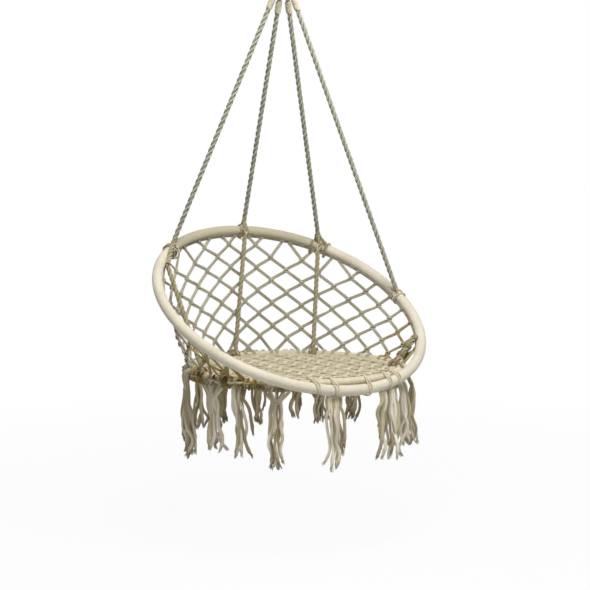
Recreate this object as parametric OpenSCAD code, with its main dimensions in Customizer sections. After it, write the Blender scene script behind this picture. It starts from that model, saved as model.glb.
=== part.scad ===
// Hanging hammock chair: a large padded back hoop and a smaller seat hoop are lashed
// together at the front, a knotted diamond net closes the back and the sides, and four
// ropes gather in a steel ring under a swivel snap hook on a ceiling plate.
// Millimetres, +Z up, origin on the ceiling face of the plate, front of the chair at -Y.

/* [Back hoop] */
// Diameter of the back hoop along the middle of its tube
hoop_d = 800; // [760:10:840]
// Outer diameter of the back hoop's steel tube
hoop_tube_d = 19; // [16:1:20]
// Wall of the back hoop's steel tube
hoop_tube_wall = 1.2; // [1:0.1:2]
// Thickness of the foam round the tube
hoop_foam = 4.5; // [3:0.5:6]
// Thickness of the cotton cover
cover_t = 1; // [0.8:0.1:1.5]
// Diameter of the sewn hem that the net hangs from
hem_d = 6; // [4:0.5:7]
// Place of the hem on the tube, turned down from the hoop's inner side
hem_turn = 52; // [45:1:58]
// Slope of the back hoop, raised towards the back
hoop_tilt = 30.8; // [28:0.2:34]

/* [Seat hoop] */
// Diameter of the seat hoop along the middle of its tube
seat_d = 616; // [590:2:640]
// Outer diameter of the seat hoop's steel tube
seat_tube_d = 16; // [14:1:18]
// Wall of the seat hoop's steel tube
seat_tube_wall = 1.2; // [1:0.1:2]
// Thickness of the cord wrapping on the seat hoop
seat_wrap = 3; // [2:0.5:4]
// Diameter of the knotted edge cord under the seat hoop
edge_d = 10; // [8:0.5:12]
// Open length of the edge cord at the front, as an angle
edge_open = 60; // [56:2:80]

/* [Seat net] */
// Width of a seat net cord
seat_cord_w = 10; // [8:0.5:14]
// Thickness of the seat net
seat_cord_t = 8; // [6:0.5:9]
// Spacing of the seat net cords
seat_pitch = 45; // [40:1:60]
// Width of the woven band along the seat net's edge
seat_band = 18; // [16:1:24]
// Angle of the seat net cords to the chair's width
seat_slant = 32; // [25:1:45]

/* [Side net] */
// Step between the net's columns at the back, as an angle round the hoop
net_step = 13.4; // [13:0.1:15]
// Growth of that step with each column away from the back
net_growth = 0.64; // [0.5:0.02:0.8]
// Place of the column nearest the hoop's back, as a share of a step
net_offset = -0.15; // [-0.2:0.05:0]
// Height of half a diamond
net_pitch = 36; // [34:0.5:38]
// Distance of the first row of knots from the hem
net_first = 21; // [18:1:24]
// Least distance of a knot from the hem, where the hem cuts the rows off
net_least = 17; // [15:1:20]
// Rise of the rows towards the hem, per column squared
net_rise = 7.4; // [6:0.2:8]
// Columns on each side of the back that the rise leaves out
net_level = 1.15; // [1:0.05:1.3]
// Least distance of the last row of knots from the seat hoop
net_last = 12; // [10:1:16]
// Half width of a knot
knot_half = 8; // [6:0.5:9]
// Half depth of a knot
knot_depth = 6; // [5:0.5:7]
// Cord thickness as a share of the knot
cord_share = 0.6; // [0.5:0.05:0.8]
// Spread of the cords that tie a knot to the hem, as a share of the straight way there
tie_share = 0.75; // [0.6:0.05:0.9]

/* [Ropes] */
// Rope diameter
rope_d = 15; // [12:1:16]
// Diameter of the inner stay ropes
stay_d = 15; // [11:1:16]
// Turn of the rope set from the hoop's back, towards the right
rope_turn = 24; // [20:1:28]
// Half angle between the two inner ropes
rope_inner = 18.5; // [17:0.5:20]
// Half angle between the two outer ropes
rope_outer = 64.5; // [60:0.5:68]
// Place of the left outer stay on the hoop, from the hoop's back to the left
stay_left = 54; // [50:1:57]
// Place of the right outer stay on the hoop, from the hoop's back to the right
stay_right = 121; // [116:1:124]
// Turn of the stay feet on the seat hoop
foot_turn = 19; // [16:1:22]
// Half angle between the two inner stay feet
foot_inner = 25.5; // [22:0.5:28]
// Half angle between the two outer stay feet
foot_outer = 102; // [96:1:105]
// Diameter of the cords that loop over the ring
eye_cord_d = 9; // [8:0.5:9.5]
// Length of the eye from the ring to its whipping
eye_drop = 17; // [15:1:20]
// Length of the whipping under an eye
whip_len = 34; // [28:1:40]
// Height of the knot where a rope reaches the hoop
hitch_h = 24; // [20:1:28]
// Width of that knot along the hoop
hitch_w = 46; // [40:1:52]
// Diameter of the hitch wraps round the hoop
wrap_d = 10; // [8:0.5:11]

/* [Tassels and lashings] */
// Length of a tassel
tassel_len = 190; // [160:5:220]
// Widest radius of a tassel
tassel_r = 15; // [12:0.5:17]
// Diameter of the lashing cords at the front
lash_d = 6; // [5:0.5:7]
// Gap between the two hoops at the front
hoop_gap = 2.4; // [2:0.2:4]
// Slope of the line from the seat hoop to the back hoop at the front
lash_slope = 51; // [45:1:56]

/* [Hanging fitting] */
// Side of the square ceiling plate
plate_w = 60; // [56:1:80]
// Thickness of the ceiling plate
plate_t = 5; // [4:0.5:8]
// Spacing of the plate's screw holes
plate_pitch = 40; // [38:1:44]
// Diameter of the plate's screw holes
plate_hole_d = 6.5; // [5:0.5:8]
// Bar diameter of the staple welded under the plate
staple_d = 8; // [7:0.5:9]
// Wire diameter of the swivel eye
swivel_wire_d = 8; // [7:0.5:9]
// Inner radius of the swivel eye
swivel_eye_r = 8; // [7:0.5:10]
// Diameter of the swivel pin
swivel_pin_d = 8; // [7:0.5:9]
// Bar diameter of the snap hook
hook_d = 9; // [8:0.5:10]
// Half width of the snap hook along the middle of its bar
hook_half_w = 18; // [17:0.5:20]
// Straight length of the snap hook's spine
hook_spine = 40; // [38:1:48]
// Diameter of the gate's pin
gate_pin_d = 3; // [2.5:0.1:3.5]
// Wire diameter of the gathering ring
ring_wire_d = 10; // [8:0.5:10]
// Radius of the gathering ring along the middle of its wire
ring_r = 36; // [34:1:42]
// Height from the seat to the bottom of the gathering ring
rope_rise = 1072; // [1000:4:1120]
// Seat centre to the right of the hanging axis
hang_x = 16; // [0:1:24]
// Seat centre in front of the hanging axis
hang_y = 32; // [20:1:40]

/* [Fits] */
// Gap between pieces that lie against each other
gap = 0.3; // [0.2:0.05:0.5]
// Radial clearance of a pin that turns
pin_gap = 0.05; // [0.02:0.01:0.09]

/* [Hidden] */
$fn = 48;
LEFT_RIGHT = [-1, 1];
net_sectors = 12;
tassels = 16;
tassel_sides = 8;
tassel_flat = 0.8;
tassel_ragged = 0.2;
tassel_uneven = 0.03;
tassel_nudge = [1, 0, -8, -10, -5, 4, -4, -4, 0, 8, 6, 0, 2, 0, 0, 0];
tassel_extra = [10, 0, 15, -5, 0, 10, 0, 5, 10, 10, 0, 0, 35, 10, 0, 5];
tassel_step = 360 / tassels;
function tassel_angle(k) = (k + 0.5) * tassel_step + tassel_nudge[k];
lash_angles = [159, tassel_angle(7), 176, tassel_angle(8), 199];

// Back and seat hoop
hoop_r = hoop_d / 2;
hoop_out = hoop_tube_d / 2 + hoop_foam + cover_t;
seat_r = seat_d / 2;
seat_out = seat_tube_d / 2 + seat_wrap;
lash_reach = hoop_out + seat_out + hoop_gap;
hoop_front = [0, -seat_r - lash_reach * cos(lash_slope), -lash_reach * sin(lash_slope)];
hoop_back = [0, cos(hoop_tilt), sin(hoop_tilt)];
hoop_down = [0, sin(hoop_tilt), -cos(hoop_tilt)];
hoop_mid = hoop_front + hoop_r * hoop_back;
hem_reach = hoop_out + hem_d / 2 + gap / 2;
hem_open = 66;
net_limit = 131;
net_rows = 15;
net_half = floor((sqrt(net_step * net_step + 4 * net_growth * net_limit) - net_step) / (2 * net_growth));
foot_share = 0.8;
net_middle = -0.25;

// Points along a lashing, and sides of its cord
lash_steps = 20;
lash_sides = 6;

// Heights of the hanging fitting, from the ceiling down
staple_corner = 8;
staple_half_w = 16;
staple_leg = 20;
staple_flat = staple_half_w - staple_corner;
neck_len = 13.3;
neck_sink = 2;
staple_z = -plate_t - staple_leg - staple_corner;
swivel_mid_z = staple_z - (swivel_eye_r - staple_d / 2 - gap);
swivel_wire_r = swivel_eye_r + swivel_wire_d / 2;
neck_d = 14;
neck_top_z = swivel_mid_z - swivel_eye_r - neck_sink;
neck_z = neck_top_z - neck_len;
collar_d = 20;
collar_h = 16;
collar_z = neck_z - gap - collar_h;
head_d = 13;
head_h = 5;
hook_corner = 14;
hook_flat = hook_half_w - hook_corner;
hook_top_z = collar_z + collar_h / 2 - hook_half_w;
hook_low_z = hook_top_z - hook_spine;
bowl_z = hook_low_z - hook_corner;
tang_t = 3;
tang_r = 4;
slot_room = 1.5;
tang_drop = 6;
tang_sink = 1;
nose_len = 8.5;
gate_gap = 1;
pin_sink = 1;
gate_z = hook_top_z - tang_drop;
nose_z = hook_low_z + nose_len;
gate_end_z = nose_z + gate_gap;
ring_mid_z = bowl_z + hook_d / 2 + ring_wire_d / 2 + gap - ring_r;
whip_wall = 1;
eye_steps = 10;
eye_sides = 8;
eye_inner = 19;
eye_outer = 48;
hitch_sink = 4;
wrap_clear = 45;
whip_d = 2 * eye_cord_d + whip_wall;
seat_z = ring_mid_z - ring_r - rope_rise;
seat_mid = [hang_x, -hang_y, seat_z];

eye_angles = [-eye_outer, -eye_inner, eye_inner, eye_outer];
function fan(turn, inner, outer) = [turn - outer, turn - inner, turn + inner, turn + outer];
hitch_angles = fan(rope_turn, rope_inner, rope_outer);
stay_angles = [-stay_left, hitch_angles[1], hitch_angles[2], stay_right];
foot_angles = fan(foot_turn, foot_inner, foot_outer);

steel = [0.72, 0.73, 0.75];
cream = [0.88, 0.84, 0.76];
net_grey = [0.62, 0.60, 0.52];
rope_grey = [0.56, 0.56, 0.50];
seat_sand = [0.80, 0.74, 0.59];
fringe = [0.70, 0.66, 0.54];

// Vectors and places, with the seat's centre as the origin of the chair
function unit(v) = v / norm(v);
function across(v, along) = unit(v - (v * along) * along);
function hoop_point(a) = hoop_mid + hoop_r * (sin(a) * [1, 0, 0] + cos(a) * hoop_back);
function hoop_inward(a) = -sin(a) * [1, 0, 0] - cos(a) * hoop_back;
function hoop_along(a) = cos(a) * [1, 0, 0] - sin(a) * hoop_back;
function hem_way(a) = cos(hem_turn) * hoop_inward(a) + sin(hem_turn) * hoop_down;
function hem_point(a) = hoop_point(a) + hem_reach * hem_way(a);
function seat_point(a) = seat_r * [sin(a), cos(a), 0];
function seat_inward(a) = [-sin(a), -cos(a), 0];
function seat_along(a) = [cos(a), -sin(a), 0];

// A place whose own x, y and z axes are given
module set_at(origin, x, y, z) {
  multmatrix([
    [x[0], y[0], z[0], origin[0]],
    [x[1], y[1], z[1], origin[1]],
    [x[2], y[2], z[2], origin[2]],
    [0, 0, 0, 1]
  ]) children();
}

// A place whose z axis runs along a direction, with its x axis near another
module set_along(origin, z, x) {
  zz = unit(z);
  xx = across(x, zz);
  set_at(origin, xx, cross(zz, xx), zz) children();
}

module in_chair() {
  translate(seat_mid) children();
}

// A round bar from one point to another
module bar(from, to, d) {
  side = abs(unit(to - from)[0]) > 0.9 ? [0, 1, 0] : [1, 0, 0];
  set_along(from, to - from, side) cylinder(d = d, h = norm(to - from));
}

// Part of a ring of round bar, in its own xy plane, from its x axis on
module ring_part(r, d, turn) {
  rotate_extrude(angle = turn) translate([r, 0]) circle(d = d);
}

// Triangles are lists of three points, seen anticlockwise from outside
function quad(a, b, c, d) = [[a, b, c], [a, c, d]];
function joined(lists) = [for (list = lists) for (item = list) item];

module solid_of(triangles) {
  polyhedron(
    points = joined(triangles),
    faces = [for (i = [0 : len(triangles) - 1]) [3 * i + 2, 3 * i + 1, 3 * i]]
  );
}

// Skin between rings of points, closed at both ends, or closed on itself as a loop
function skin(rings, loop) =
  let (n = len(rings[0]), last = len(rings) - 1)
  concat(
    joined([for (i = [0 : loop ? last : last - 1]) let (a = rings[i], b = rings[(i + 1) % (last + 1)])
      joined([for (k = [0 : n - 1]) quad(a[k], a[(k + 1) % n], b[(k + 1) % n], b[k])])]),
    loop ? [] : [for (k = [1 : n - 2]) [rings[0][0], rings[0][k + 1], rings[0][k]]],
    loop ? [] : [for (k = [1 : n - 2]) [rings[last][0], rings[last][k], rings[last][k + 1]]]
  );

// Side net: knot i, j sits on the line from the hem to the seat hoop at its own angle.
// The line lies in the upright plane through the seat's centre, and it ends square to the hem
// at the top and square to the seat hoop at the bottom. The columns widen towards the front, and
// the rows run level there, so the hem cuts them off.
function column_angle(n) = net_step * n + net_growth * n * abs(n);
function net_column(i, j) = i + (j % 2) / 2 + net_offset;
function net_angle(i, j) = column_angle(net_column(i, j));
function seat_turn(a) = atan2(hem_point(a)[0], hem_point(a)[1]);
function span(a) = seat_point(seat_turn(a)) - hem_point(a);
function top_way(a) = across(span(a), hoop_along(a));
function low_way(a) = across(span(a), seat_along(seat_turn(a)));
function net_top(a) = hem_point(a) + (hem_d / 2 + gap) * top_way(a);
function net_low(a) = seat_point(seat_turn(a)) - (seat_out + 2 * gap) * low_way(a);
function net_down(a) = unit(net_low(a) - net_top(a));
function net_height(a) = norm(net_low(a) - net_top(a));
function knot_drop(i, j) =
  let (side = max(0, abs(net_column(i, j) - net_middle) - net_level))
  net_first + j * net_pitch - net_rise * side * side;
function knot_left(i, j) = net_height(net_angle(i, j)) - knot_drop(i, j);
function is_knot(i, j) = j >= 0 && abs(net_angle(i, j)) < net_limit
  && knot_drop(i, j) >= net_least && knot_left(i, j) >= net_last;
function knot_point(i, j) = let (a = net_angle(i, j)) net_top(a) + knot_drop(i, j) * net_down(a);
function sector_of(i) = floor((i + net_half) * net_sectors / (2 * net_half + 1));

// Neighbours leave a knot up to the right, down to the right, down to the left and up to the left
function next_i(i, j, side) = side < 2 ? i + j % 2 : i + j % 2 - 1;
function next_j(j, side) = side == 1 || side == 2 ? j + 1 : j - 1;

// Eight corners of a knot: top, right, bottom and left, outside and inside
function knot_corners(i, j) =
  let (
    a = net_angle(i, j), p = knot_point(i, j), v = net_down(a),
    u = across(seat_along(seat_turn(a)), v), n = cross(u, v)
  )
  [for (d = [-knot_half * v, knot_half * u, knot_half * v, -knot_half * u])
    [p + d + knot_depth * n, p + d - knot_depth * n]];
function knot_side(c, side) =
  let (k = side, l = (side + 1) % 4) [c[k][0], c[l][0], c[l][1], c[k][1]];
function mean(ring) = (ring[0] + ring[1] + ring[2] + ring[3]) / 4;

// Middle of a cord between two knots, as a thinner ring
function cord_middle(ring, other) =
  let (
    facing = [other[1], other[0], other[3], other[2]],
    m = (ring + facing) / 2, c = (mean(ring) + mean(other)) / 2
  )
  [for (p = m) c + cord_share * (p - mean(m))];
// End of a cord, flat against the hem or the seat hoop
function cord_end(at, along, way, side) =
  let (
    half_w = side * cord_share * knot_half * sqrt(0.5) * along,
    half_d = cord_share * knot_depth * cross(along, way)
  )
  [at + half_w + half_d, at - half_w + half_d, at - half_w - half_d, at + half_w - half_d];
function top_end(a) = cord_end(net_top(a), hoop_along(a), top_way(a), -1);
function low_end(a) = cord_end(net_low(a), seat_along(seat_turn(a)), low_way(a), 1);
function cord_skin(ring, end) =
  joined([for (k = [0 : 3]) let (l = (k + 1) % 4) quad(ring[k], end[k], end[l], ring[l])]);
function lid(ring) = quad(ring[3], ring[2], ring[1], ring[0]);

// One cord of a knot, to the next knot, to the hem or to the seat hoop
function knot_cord(i, j, side) =
  let (
    ring = knot_side(knot_corners(i, j), side), ni = next_i(i, j, side), nj = next_j(j, side),
    out = side < 2 ? 1 : -1, from = nj > j ? knot_left(i, j) : knot_drop(i, j),
    fall = from - (nj > j ? knot_left(ni, nj) : knot_drop(ni, nj)),
    share = nj > j ? (fall > 0 ? min(foot_share, from / fall) : foot_share) : tie_share * min(1, from / fall),
    end_angle = column_angle(net_column(i, j) + out * share / 2)
  )
  is_knot(ni, nj)
    ? let (middle = cord_middle(ring, knot_side(knot_corners(ni, nj), (side + 2) % 4)))
      concat(cord_skin(ring, middle), sector_of(ni) == sector_of(i) ? [] : lid(middle))
    : nj < j && fall <= 0 ? lid(ring)
      : let (end = nj < j ? top_end(end_angle) : low_end(end_angle))
        concat(cord_skin(ring, end), lid(end));
function knot_faces(i, j) =
  let (c = knot_corners(i, j))
  concat(quad(c[0][0], c[1][0], c[2][0], c[3][0]), quad(c[3][1], c[2][1], c[1][1], c[0][1]));
function net_sector(s) =
  joined([for (i = [-net_half : net_half]) if (sector_of(i) == s)
    for (j = [0 : net_rows - 1]) if (is_knot(i, j))
      concat(knot_faces(i, j), joined([for (side = [0 : 3]) knot_cord(i, j, side)]))]);

// Ropes: from the gathering ring to the hoop, in part coordinates
function ring_point(k) =
  [ring_r * sin(eye_angles[k]), 0, ring_mid_z - ring_r * cos(eye_angles[k])];
function ring_along(k) = [cos(eye_angles[k]), 0, sin(eye_angles[k])];
function hitch_point(k) = seat_mid + hoop_point(hitch_angles[k]);
function rope_way(k) = unit(hitch_point(k) - ring_point(k));
function whip_start(k) = ring_point(k) + eye_drop * rope_way(k);
function rope_start(k) = whip_start(k) + whip_len * rope_way(k);
function rope_end(k) = hitch_point(k) - (hoop_out + hitch_h) * rope_way(k);

// Hanging fitting
module ceiling_plate() {
  hole = plate_pitch / 2;
  corner = (plate_w - plate_pitch) / 2;
  color(steel) {
    difference() {
      translate([0, 0, -plate_t]) linear_extrude(plate_t) {
        square([plate_pitch, plate_w], center = true);
        square([plate_w, plate_pitch], center = true);
        for (x = LEFT_RIGHT) for (y = LEFT_RIGHT) translate([x * hole, y * hole]) circle(r = corner);
      }
      for (x = LEFT_RIGHT) for (y = LEFT_RIGHT)
        translate([x * hole, y * hole, -plate_t - 1]) cylinder(d = plate_hole_d, h = plate_t + 2);
    }
    for (x = LEFT_RIGHT) {
      translate([x * staple_half_w, 0, -plate_t - staple_leg]) cylinder(d = staple_d, h = staple_leg);
      set_at([x * staple_flat, 0, -plate_t - staple_leg], [x, 0, 0], [0, 0, -1], [0, x, 0])
        ring_part(staple_corner, staple_d, 90);
    }
    bar([-staple_flat, 0, staple_z], [staple_flat, 0, staple_z], staple_d);
  }
}

module swivel_eye() {
  color(steel) {
    translate([0, 0, swivel_mid_z]) rotate([0, 90, 0]) ring_part(swivel_wire_r, swivel_wire_d, 360);
    translate([0, 0, neck_z]) cylinder(d = neck_d, h = neck_len);
    translate([0, 0, collar_z - gap]) cylinder(d = swivel_pin_d, h = neck_z - collar_z + 2 * gap);
    translate([0, 0, collar_z - gap - head_h]) cylinder(d = head_d, h = head_h);
  }
}

module hook_body() {
  color(steel) difference() {
    union() {
      translate([0, 0, collar_z]) cylinder(d = collar_d, h = collar_h);
      set_at([0, 0, hook_top_z], [0, 1, 0], [0, 0, 1], [1, 0, 0]) ring_part(hook_half_w, hook_d, 180);
      bar([0, hook_half_w, hook_low_z], [0, hook_half_w, hook_top_z], hook_d);
      for (y = LEFT_RIGHT)
        set_at([0, y * hook_flat, hook_low_z], [0, y, 0], [0, 0, -1], [-y, 0, 0])
          ring_part(hook_corner, hook_d, 90);
      bar([0, -hook_flat, bowl_z], [0, hook_flat, bowl_z], hook_d);
      bar([0, -hook_half_w, hook_low_z], [0, -hook_half_w, nose_z], hook_d);
      translate([-tang_t / 2, -hook_half_w - tang_r, gate_z])
        cube([tang_t, 2 * tang_r, tang_drop + tang_sink]);
      translate([-tang_t / 2, -hook_half_w, gate_z]) rotate([0, 90, 0]) cylinder(r = tang_r, h = tang_t);
    }
    translate([0, 0, collar_z - 1]) cylinder(d = swivel_pin_d + 2 * pin_gap, h = collar_h + 2);
    translate([-hook_d, -hook_half_w, gate_z]) rotate([0, 90, 0])
      cylinder(d = gate_pin_d + 2 * pin_gap, h = 2 * hook_d);
  }
}

module hook_gate() {
  slot_r = tang_r + slot_room;
  color(steel) difference() {
    union() {
      translate([0, -hook_half_w, gate_end_z]) cylinder(d = hook_d, h = gate_z - gate_end_z);
      intersection() {
        translate([0, -hook_half_w, gate_end_z]) cylinder(d = hook_d, h = hook_top_z - gate_end_z);
        translate([-hook_d, -hook_half_w, gate_z]) rotate([0, 90, 0]) cylinder(d = hook_d, h = 2 * hook_d);
      }
    }
    translate([-tang_t / 2 - gap, -hook_half_w - hook_d, gate_z - slot_r])
      cube([tang_t + 2 * gap, 2 * hook_d, hook_d + slot_r]);
    translate([-hook_d, -hook_half_w, gate_z]) rotate([0, 90, 0]) cylinder(d = gate_pin_d, h = 2 * hook_d);
  }
}

module gate_pin() {
  length = hook_d - pin_sink;
  color(steel) translate([-length / 2, -hook_half_w, gate_z]) rotate([0, 90, 0])
    cylinder(d = gate_pin_d, h = length);
}

module gathering_ring() {
  color(steel) translate([0, 0, ring_mid_z]) rotate([90, 0, 0]) ring_part(ring_r, ring_wire_d, 360);
}

// Each eye is half a turn of cord over the ring, which it crosses at a slant,
// with two legs that close up to its whipping
function eye_r(k) = (ring_wire_d + eye_cord_d) / 2 / norm(cross(ring_along(k), rope_way(k))) + 3 * gap;
function eye_path(k) = concat(
  [[0, eye_cord_d / 2, -eye_drop]],
  [for (i = [0 : eye_steps]) let (t = 180 * i / eye_steps) eye_r(k) * [0, cos(t), sin(t)]],
  [[0, -eye_cord_d / 2, -eye_drop]]
);
function eye_ring(path, i) =
  let (
    last = len(path) - 1, step = 360 / eye_sides,
    way = i == 0 ? [0, 0, 1] : i == last ? [0, 0, -1] : unit(path[i + 1] - path[i - 1]),
    side = cross(way, [1, 0, 0])
  )
  [for (k = [1 : eye_sides])
    path[i] + eye_cord_d / 2 * (cos(k * step) * side + sin(k * step) * [1, 0, 0])];
module rope_eyes() {
  color(rope_grey) for (k = [0 : 3]) set_along(ring_point(k), -rope_way(k), ring_along(k)) {
    path = eye_path(k);
    solid_of(skin([for (i = [0 : len(path) - 1]) eye_ring(path, i)], false));
  }
}

module rope_whippings() {
  color(cream) for (k = [0 : 3]) set_along(whip_start(k), rope_way(k), ring_along(k))
    cylinder(d = whip_d, h = whip_len);
}

module rope(k) {
  color(rope_grey) bar(rope_start(k), rope_end(k), rope_d);
}

// The rope spreads into a flat triangular knot on the hoop, held by two wraps that leave the hem free
module hoop_hitch(k) {
  a = hitch_angles[k];
  along = hoop_along(a);
  up = across(-rope_way(k), along);
  rope_slant = [-rope_way(k) * along, -rope_way(k) * up];
  edge = rope_d / 2 * [rope_slant[1], -rope_slant[0]];
  top = (hoop_out + hitch_h) * rope_slant;
  base = hoop_out - hitch_sink;
  wrap_r = hoop_out + 2 * gap + wrap_d / 2;
  wrap_step = (hitch_w - wrap_d) / 2 / hoop_r * 180 / PI;
  color(rope_grey) {
    difference() {
      set_at(hitch_point(k), along, up, cross(along, up)) linear_extrude(rope_d, center = true)
        polygon([top - edge, top + edge, [hitch_w / 2, base], [-hitch_w / 2, base]]);
      hoop_turn() circle(r = hoop_out + gap);
    }
    for (side = LEFT_RIGHT) {
      b = a + side * wrap_step;
      in_chair() set_along(hoop_point(b), hoop_along(b), hoop_inward(b))
        rotate(hem_turn + wrap_clear) ring_part(wrap_r, wrap_d, 350 - hem_turn - wrap_clear);
    }
  }
}

// Stays run inside the net, from the hoop's inner side to the seat hoop's inner side.
// Each is lengthened up its own line until its rim comes close to the hoop.
stay_reach = hoop_out + 3 * gap + stay_d / 2;
function stay_hang(k) = hoop_point(stay_angles[k]) + stay_reach * hoop_inward(stay_angles[k]);
function stay_low(k) =
  let (
    foot = seat_point(foot_angles[k]) + (seat_out + 2 * gap + stay_d / 2) * seat_inward(foot_angles[k]),
    way = unit(foot - stay_hang(k))
  )
  foot + [0, 0, seat_cord_t / 2 + 2 * gap + stay_d / 2 * norm([way[0], way[1]])];
function hoop_distance(p) =
  let (q = p - hoop_mid)
  norm([norm([q[0], q * hoop_back]) - hoop_r, q * hoop_down]);
function rim_distance(at, way) =
  let (x = across([1, 0, 0], way), y = cross(way, x))
  min([for (t = [0 : 15 : 345]) hoop_distance(at + stay_d / 2 * (cos(t) * x + sin(t) * y))]);
function stay_top(k) =
  let (
    hang = stay_hang(k), way = unit(stay_low(k) - hang),
    clear = [for (rise = [0 : gap / 2 : stay_d])
      if (rim_distance(hang - rise * way, way) > hoop_out + gap) rise]
  )
  hang - max(clear) * way;
module stay(k) {
  color(rope_grey) in_chair() bar(stay_top(k), stay_low(k), stay_d);
}

// A section carried round the back hoop
module hoop_turn() {
  in_chair() set_at(hoop_mid, [1, 0, 0], hoop_back, -hoop_down) rotate_extrude($fn = 96)
    translate([hoop_r, 0]) children();
}

module hoop_ring(r_out, r_in) {
  hoop_turn() difference() {
    circle(r = r_out);
    circle(r = r_in);
  }
}

module back_hoop_tube() {
  color(steel) hoop_ring(hoop_tube_d / 2, hoop_tube_d / 2 - hoop_tube_wall);
}

module back_hoop_foam() {
  color("white") hoop_ring(hoop_tube_d / 2 + hoop_foam, hoop_tube_d / 2);
}

module back_hoop_cover() {
  color(cream) hoop_ring(hoop_out, hoop_out - cover_t);
}

// The hem stays clear of the front, where the hoops are lashed
module back_hoop_hem() {
  color(cream) in_chair() set_at(hoop_mid, [1, 0, 0], hoop_back, -hoop_down) rotate(-90 + hem_open / 2)
    translate([0, 0, -hem_reach * sin(hem_turn)])
      ring_part(hoop_r - hem_reach * cos(hem_turn), hem_d, 360 - hem_open, $fn = 96);
}

module side_net(s) {
  color(net_grey) in_chair() solid_of(net_sector(s));
}

// Each lashing runs once round both tubes, which lie side by side at the front, in an upright plane;
// its two bends are wide enough for the tubes, which cross that plane at a slant
function lash_seat_angle(a) = 180 - asin(hoop_point(a)[0] / seat_r);
function lash_far(a) = (hoop_out + gap) / abs(hoop_along(a)[0]) + lash_d / 2;
function lash_near(a) = (seat_out + gap) / abs(cos(lash_seat_angle(a))) + lash_d / 2;
function lash_path(a) =
  let (
    h = hoop_point(a), s = seat_point(lash_seat_angle(a)), far = lash_far(a), near = lash_near(a),
    way = unit([0, h[1] - s[1], h[2] - s[2]]), up = cross([1, 0, 0], way),
    flare = asin((far - near) / norm(h - s)), half = lash_steps / 2, room = 1 / cos(90 / (half - 1))
  )
  [for (i = [0 : lash_steps - 1])
    let (
      out = i < half, share = (i % half) / (half - 1),
      t = out ? -90 - flare + (180 + 2 * flare) * share : 90 + flare + (180 - 2 * flare) * share
    )
    (out ? h : s) + (out ? far : near) * room * (cos(t) * way + sin(t) * up)];
function lash_ring(path, i) =
  let (
    before = path[(i + lash_steps - 1) % lash_steps], after = path[(i + 1) % lash_steps],
    way = unit(after - before), side = cross(way, [1, 0, 0]), step = 360 / lash_sides
  )
  [for (k = [1 : lash_sides])
    path[i] + lash_d / 2 * (cos(k * step) * side + sin(k * step) * cross(way, side))];
module front_lashings() {
  color(net_grey) in_chair() for (a = lash_angles) {
    path = lash_path(a);
    solid_of(skin([for (i = [0 : lash_steps - 1]) lash_ring(path, i)], true));
  }
}

module seat_ring(r_out, r_in) {
  in_chair() rotate_extrude($fn = 96) translate([seat_r, 0]) difference() {
    circle(r = r_out);
    circle(r = r_in);
  }
}

module seat_hoop_tube() {
  color(steel) seat_ring(seat_tube_d / 2, seat_tube_d / 2 - seat_tube_wall);
}

module seat_hoop_wrap() {
  color(seat_sand) seat_ring(seat_out, seat_tube_d / 2);
}

// A knotted cord under the seat hoop carries the tassels; it is open at the front
module seat_edge_cord() {
  color(fringe) in_chair() rotate(-90 + edge_open / 2)
    translate([0, 0, -seat_out - edge_d / 2 - gap / 2]) ring_part(seat_r, edge_d, 360 - edge_open);
}

// Cords in two directions inside a woven edge band, with a notch where each lashing passes
module seat_net() {
  inside = seat_r - seat_out - gap;
  count = ceil(inside / seat_pitch);
  color(seat_sand) in_chair() translate([0, 0, -seat_cord_t / 2]) linear_extrude(seat_cord_t) difference() {
    intersection() {
      circle(r = inside, $fn = 96);
      union() {
        for (slant = [-seat_slant, seat_slant]) rotate(slant)
          for (i = [-count : count - 1]) translate([0, (i + 0.5) * seat_pitch])
            square([2 * seat_r, seat_cord_w], center = true);
        difference() {
          circle(r = seat_r, $fn = 96);
          circle(r = inside - seat_band, $fn = 96);
        }
      }
    }
    for (a = lash_angles) {
      depth = 2 * (lash_near(a) + lash_d / 2 + gap);
      translate([hoop_point(a)[0], seat_point(lash_seat_angle(a))[1]])
        square([lash_d + 2 * gap, depth], center = true);
    }
  }
}

// A tassel: a bound head, a knot, and limp cords that spread to a ragged end.
// Those in the front gap of the edge cord hang from a lashing.
module tassel(k) {
  a = tassel_angle(k);
  length = tassel_len + tassel_extra[k];
  under_lash = hoop_point(a) - [0, 0, lash_far(a) + lash_d / 2 + 2 * gap];
  under_edge = seat_point(a) - [0, 0, seat_out + edge_d + gap];
  profile = [[0, 0.45], [0.06, 0.5], [0.1, 0.75], [0.14, 0.55], [0.4, 0.85], [0.75, 0.95], [1, 1]];
  color(fringe) in_chair() translate(abs(a - 180) < edge_open / 2 ? under_lash : under_edge) rotate(-a)
    solid_of(skin([for (p = profile) tassel_ring(length, p[0], tassel_r * p[1])], false));
}
function tassel_ring(length, drop, r) =
  [for (i = [0 : tassel_sides - 1])
    let (t = -i * 360 / tassel_sides, inner = i % 2, spread = r * (1 - tassel_ragged * inner * drop))
    [spread * cos(t), tassel_flat * spread * sin(t), -length * drop * (1 + tassel_uneven * inner)]];

ceiling_plate();
swivel_eye();
hook_body();
hook_gate();
gate_pin();
gathering_ring();
rope_eyes();
rope_whippings();
for (k = [0 : 3]) {
  rope(k);
  hoop_hitch(k);
  stay(k);
}
back_hoop_tube();
back_hoop_foam();
back_hoop_cover();
back_hoop_hem();
for (s = [0 : net_sectors - 1]) side_net(s);
front_lashings();
seat_hoop_tube();
seat_hoop_wrap();
seat_edge_cord();
seat_net();
for (k = [0 : tassels - 1]) tassel(k);
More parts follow.
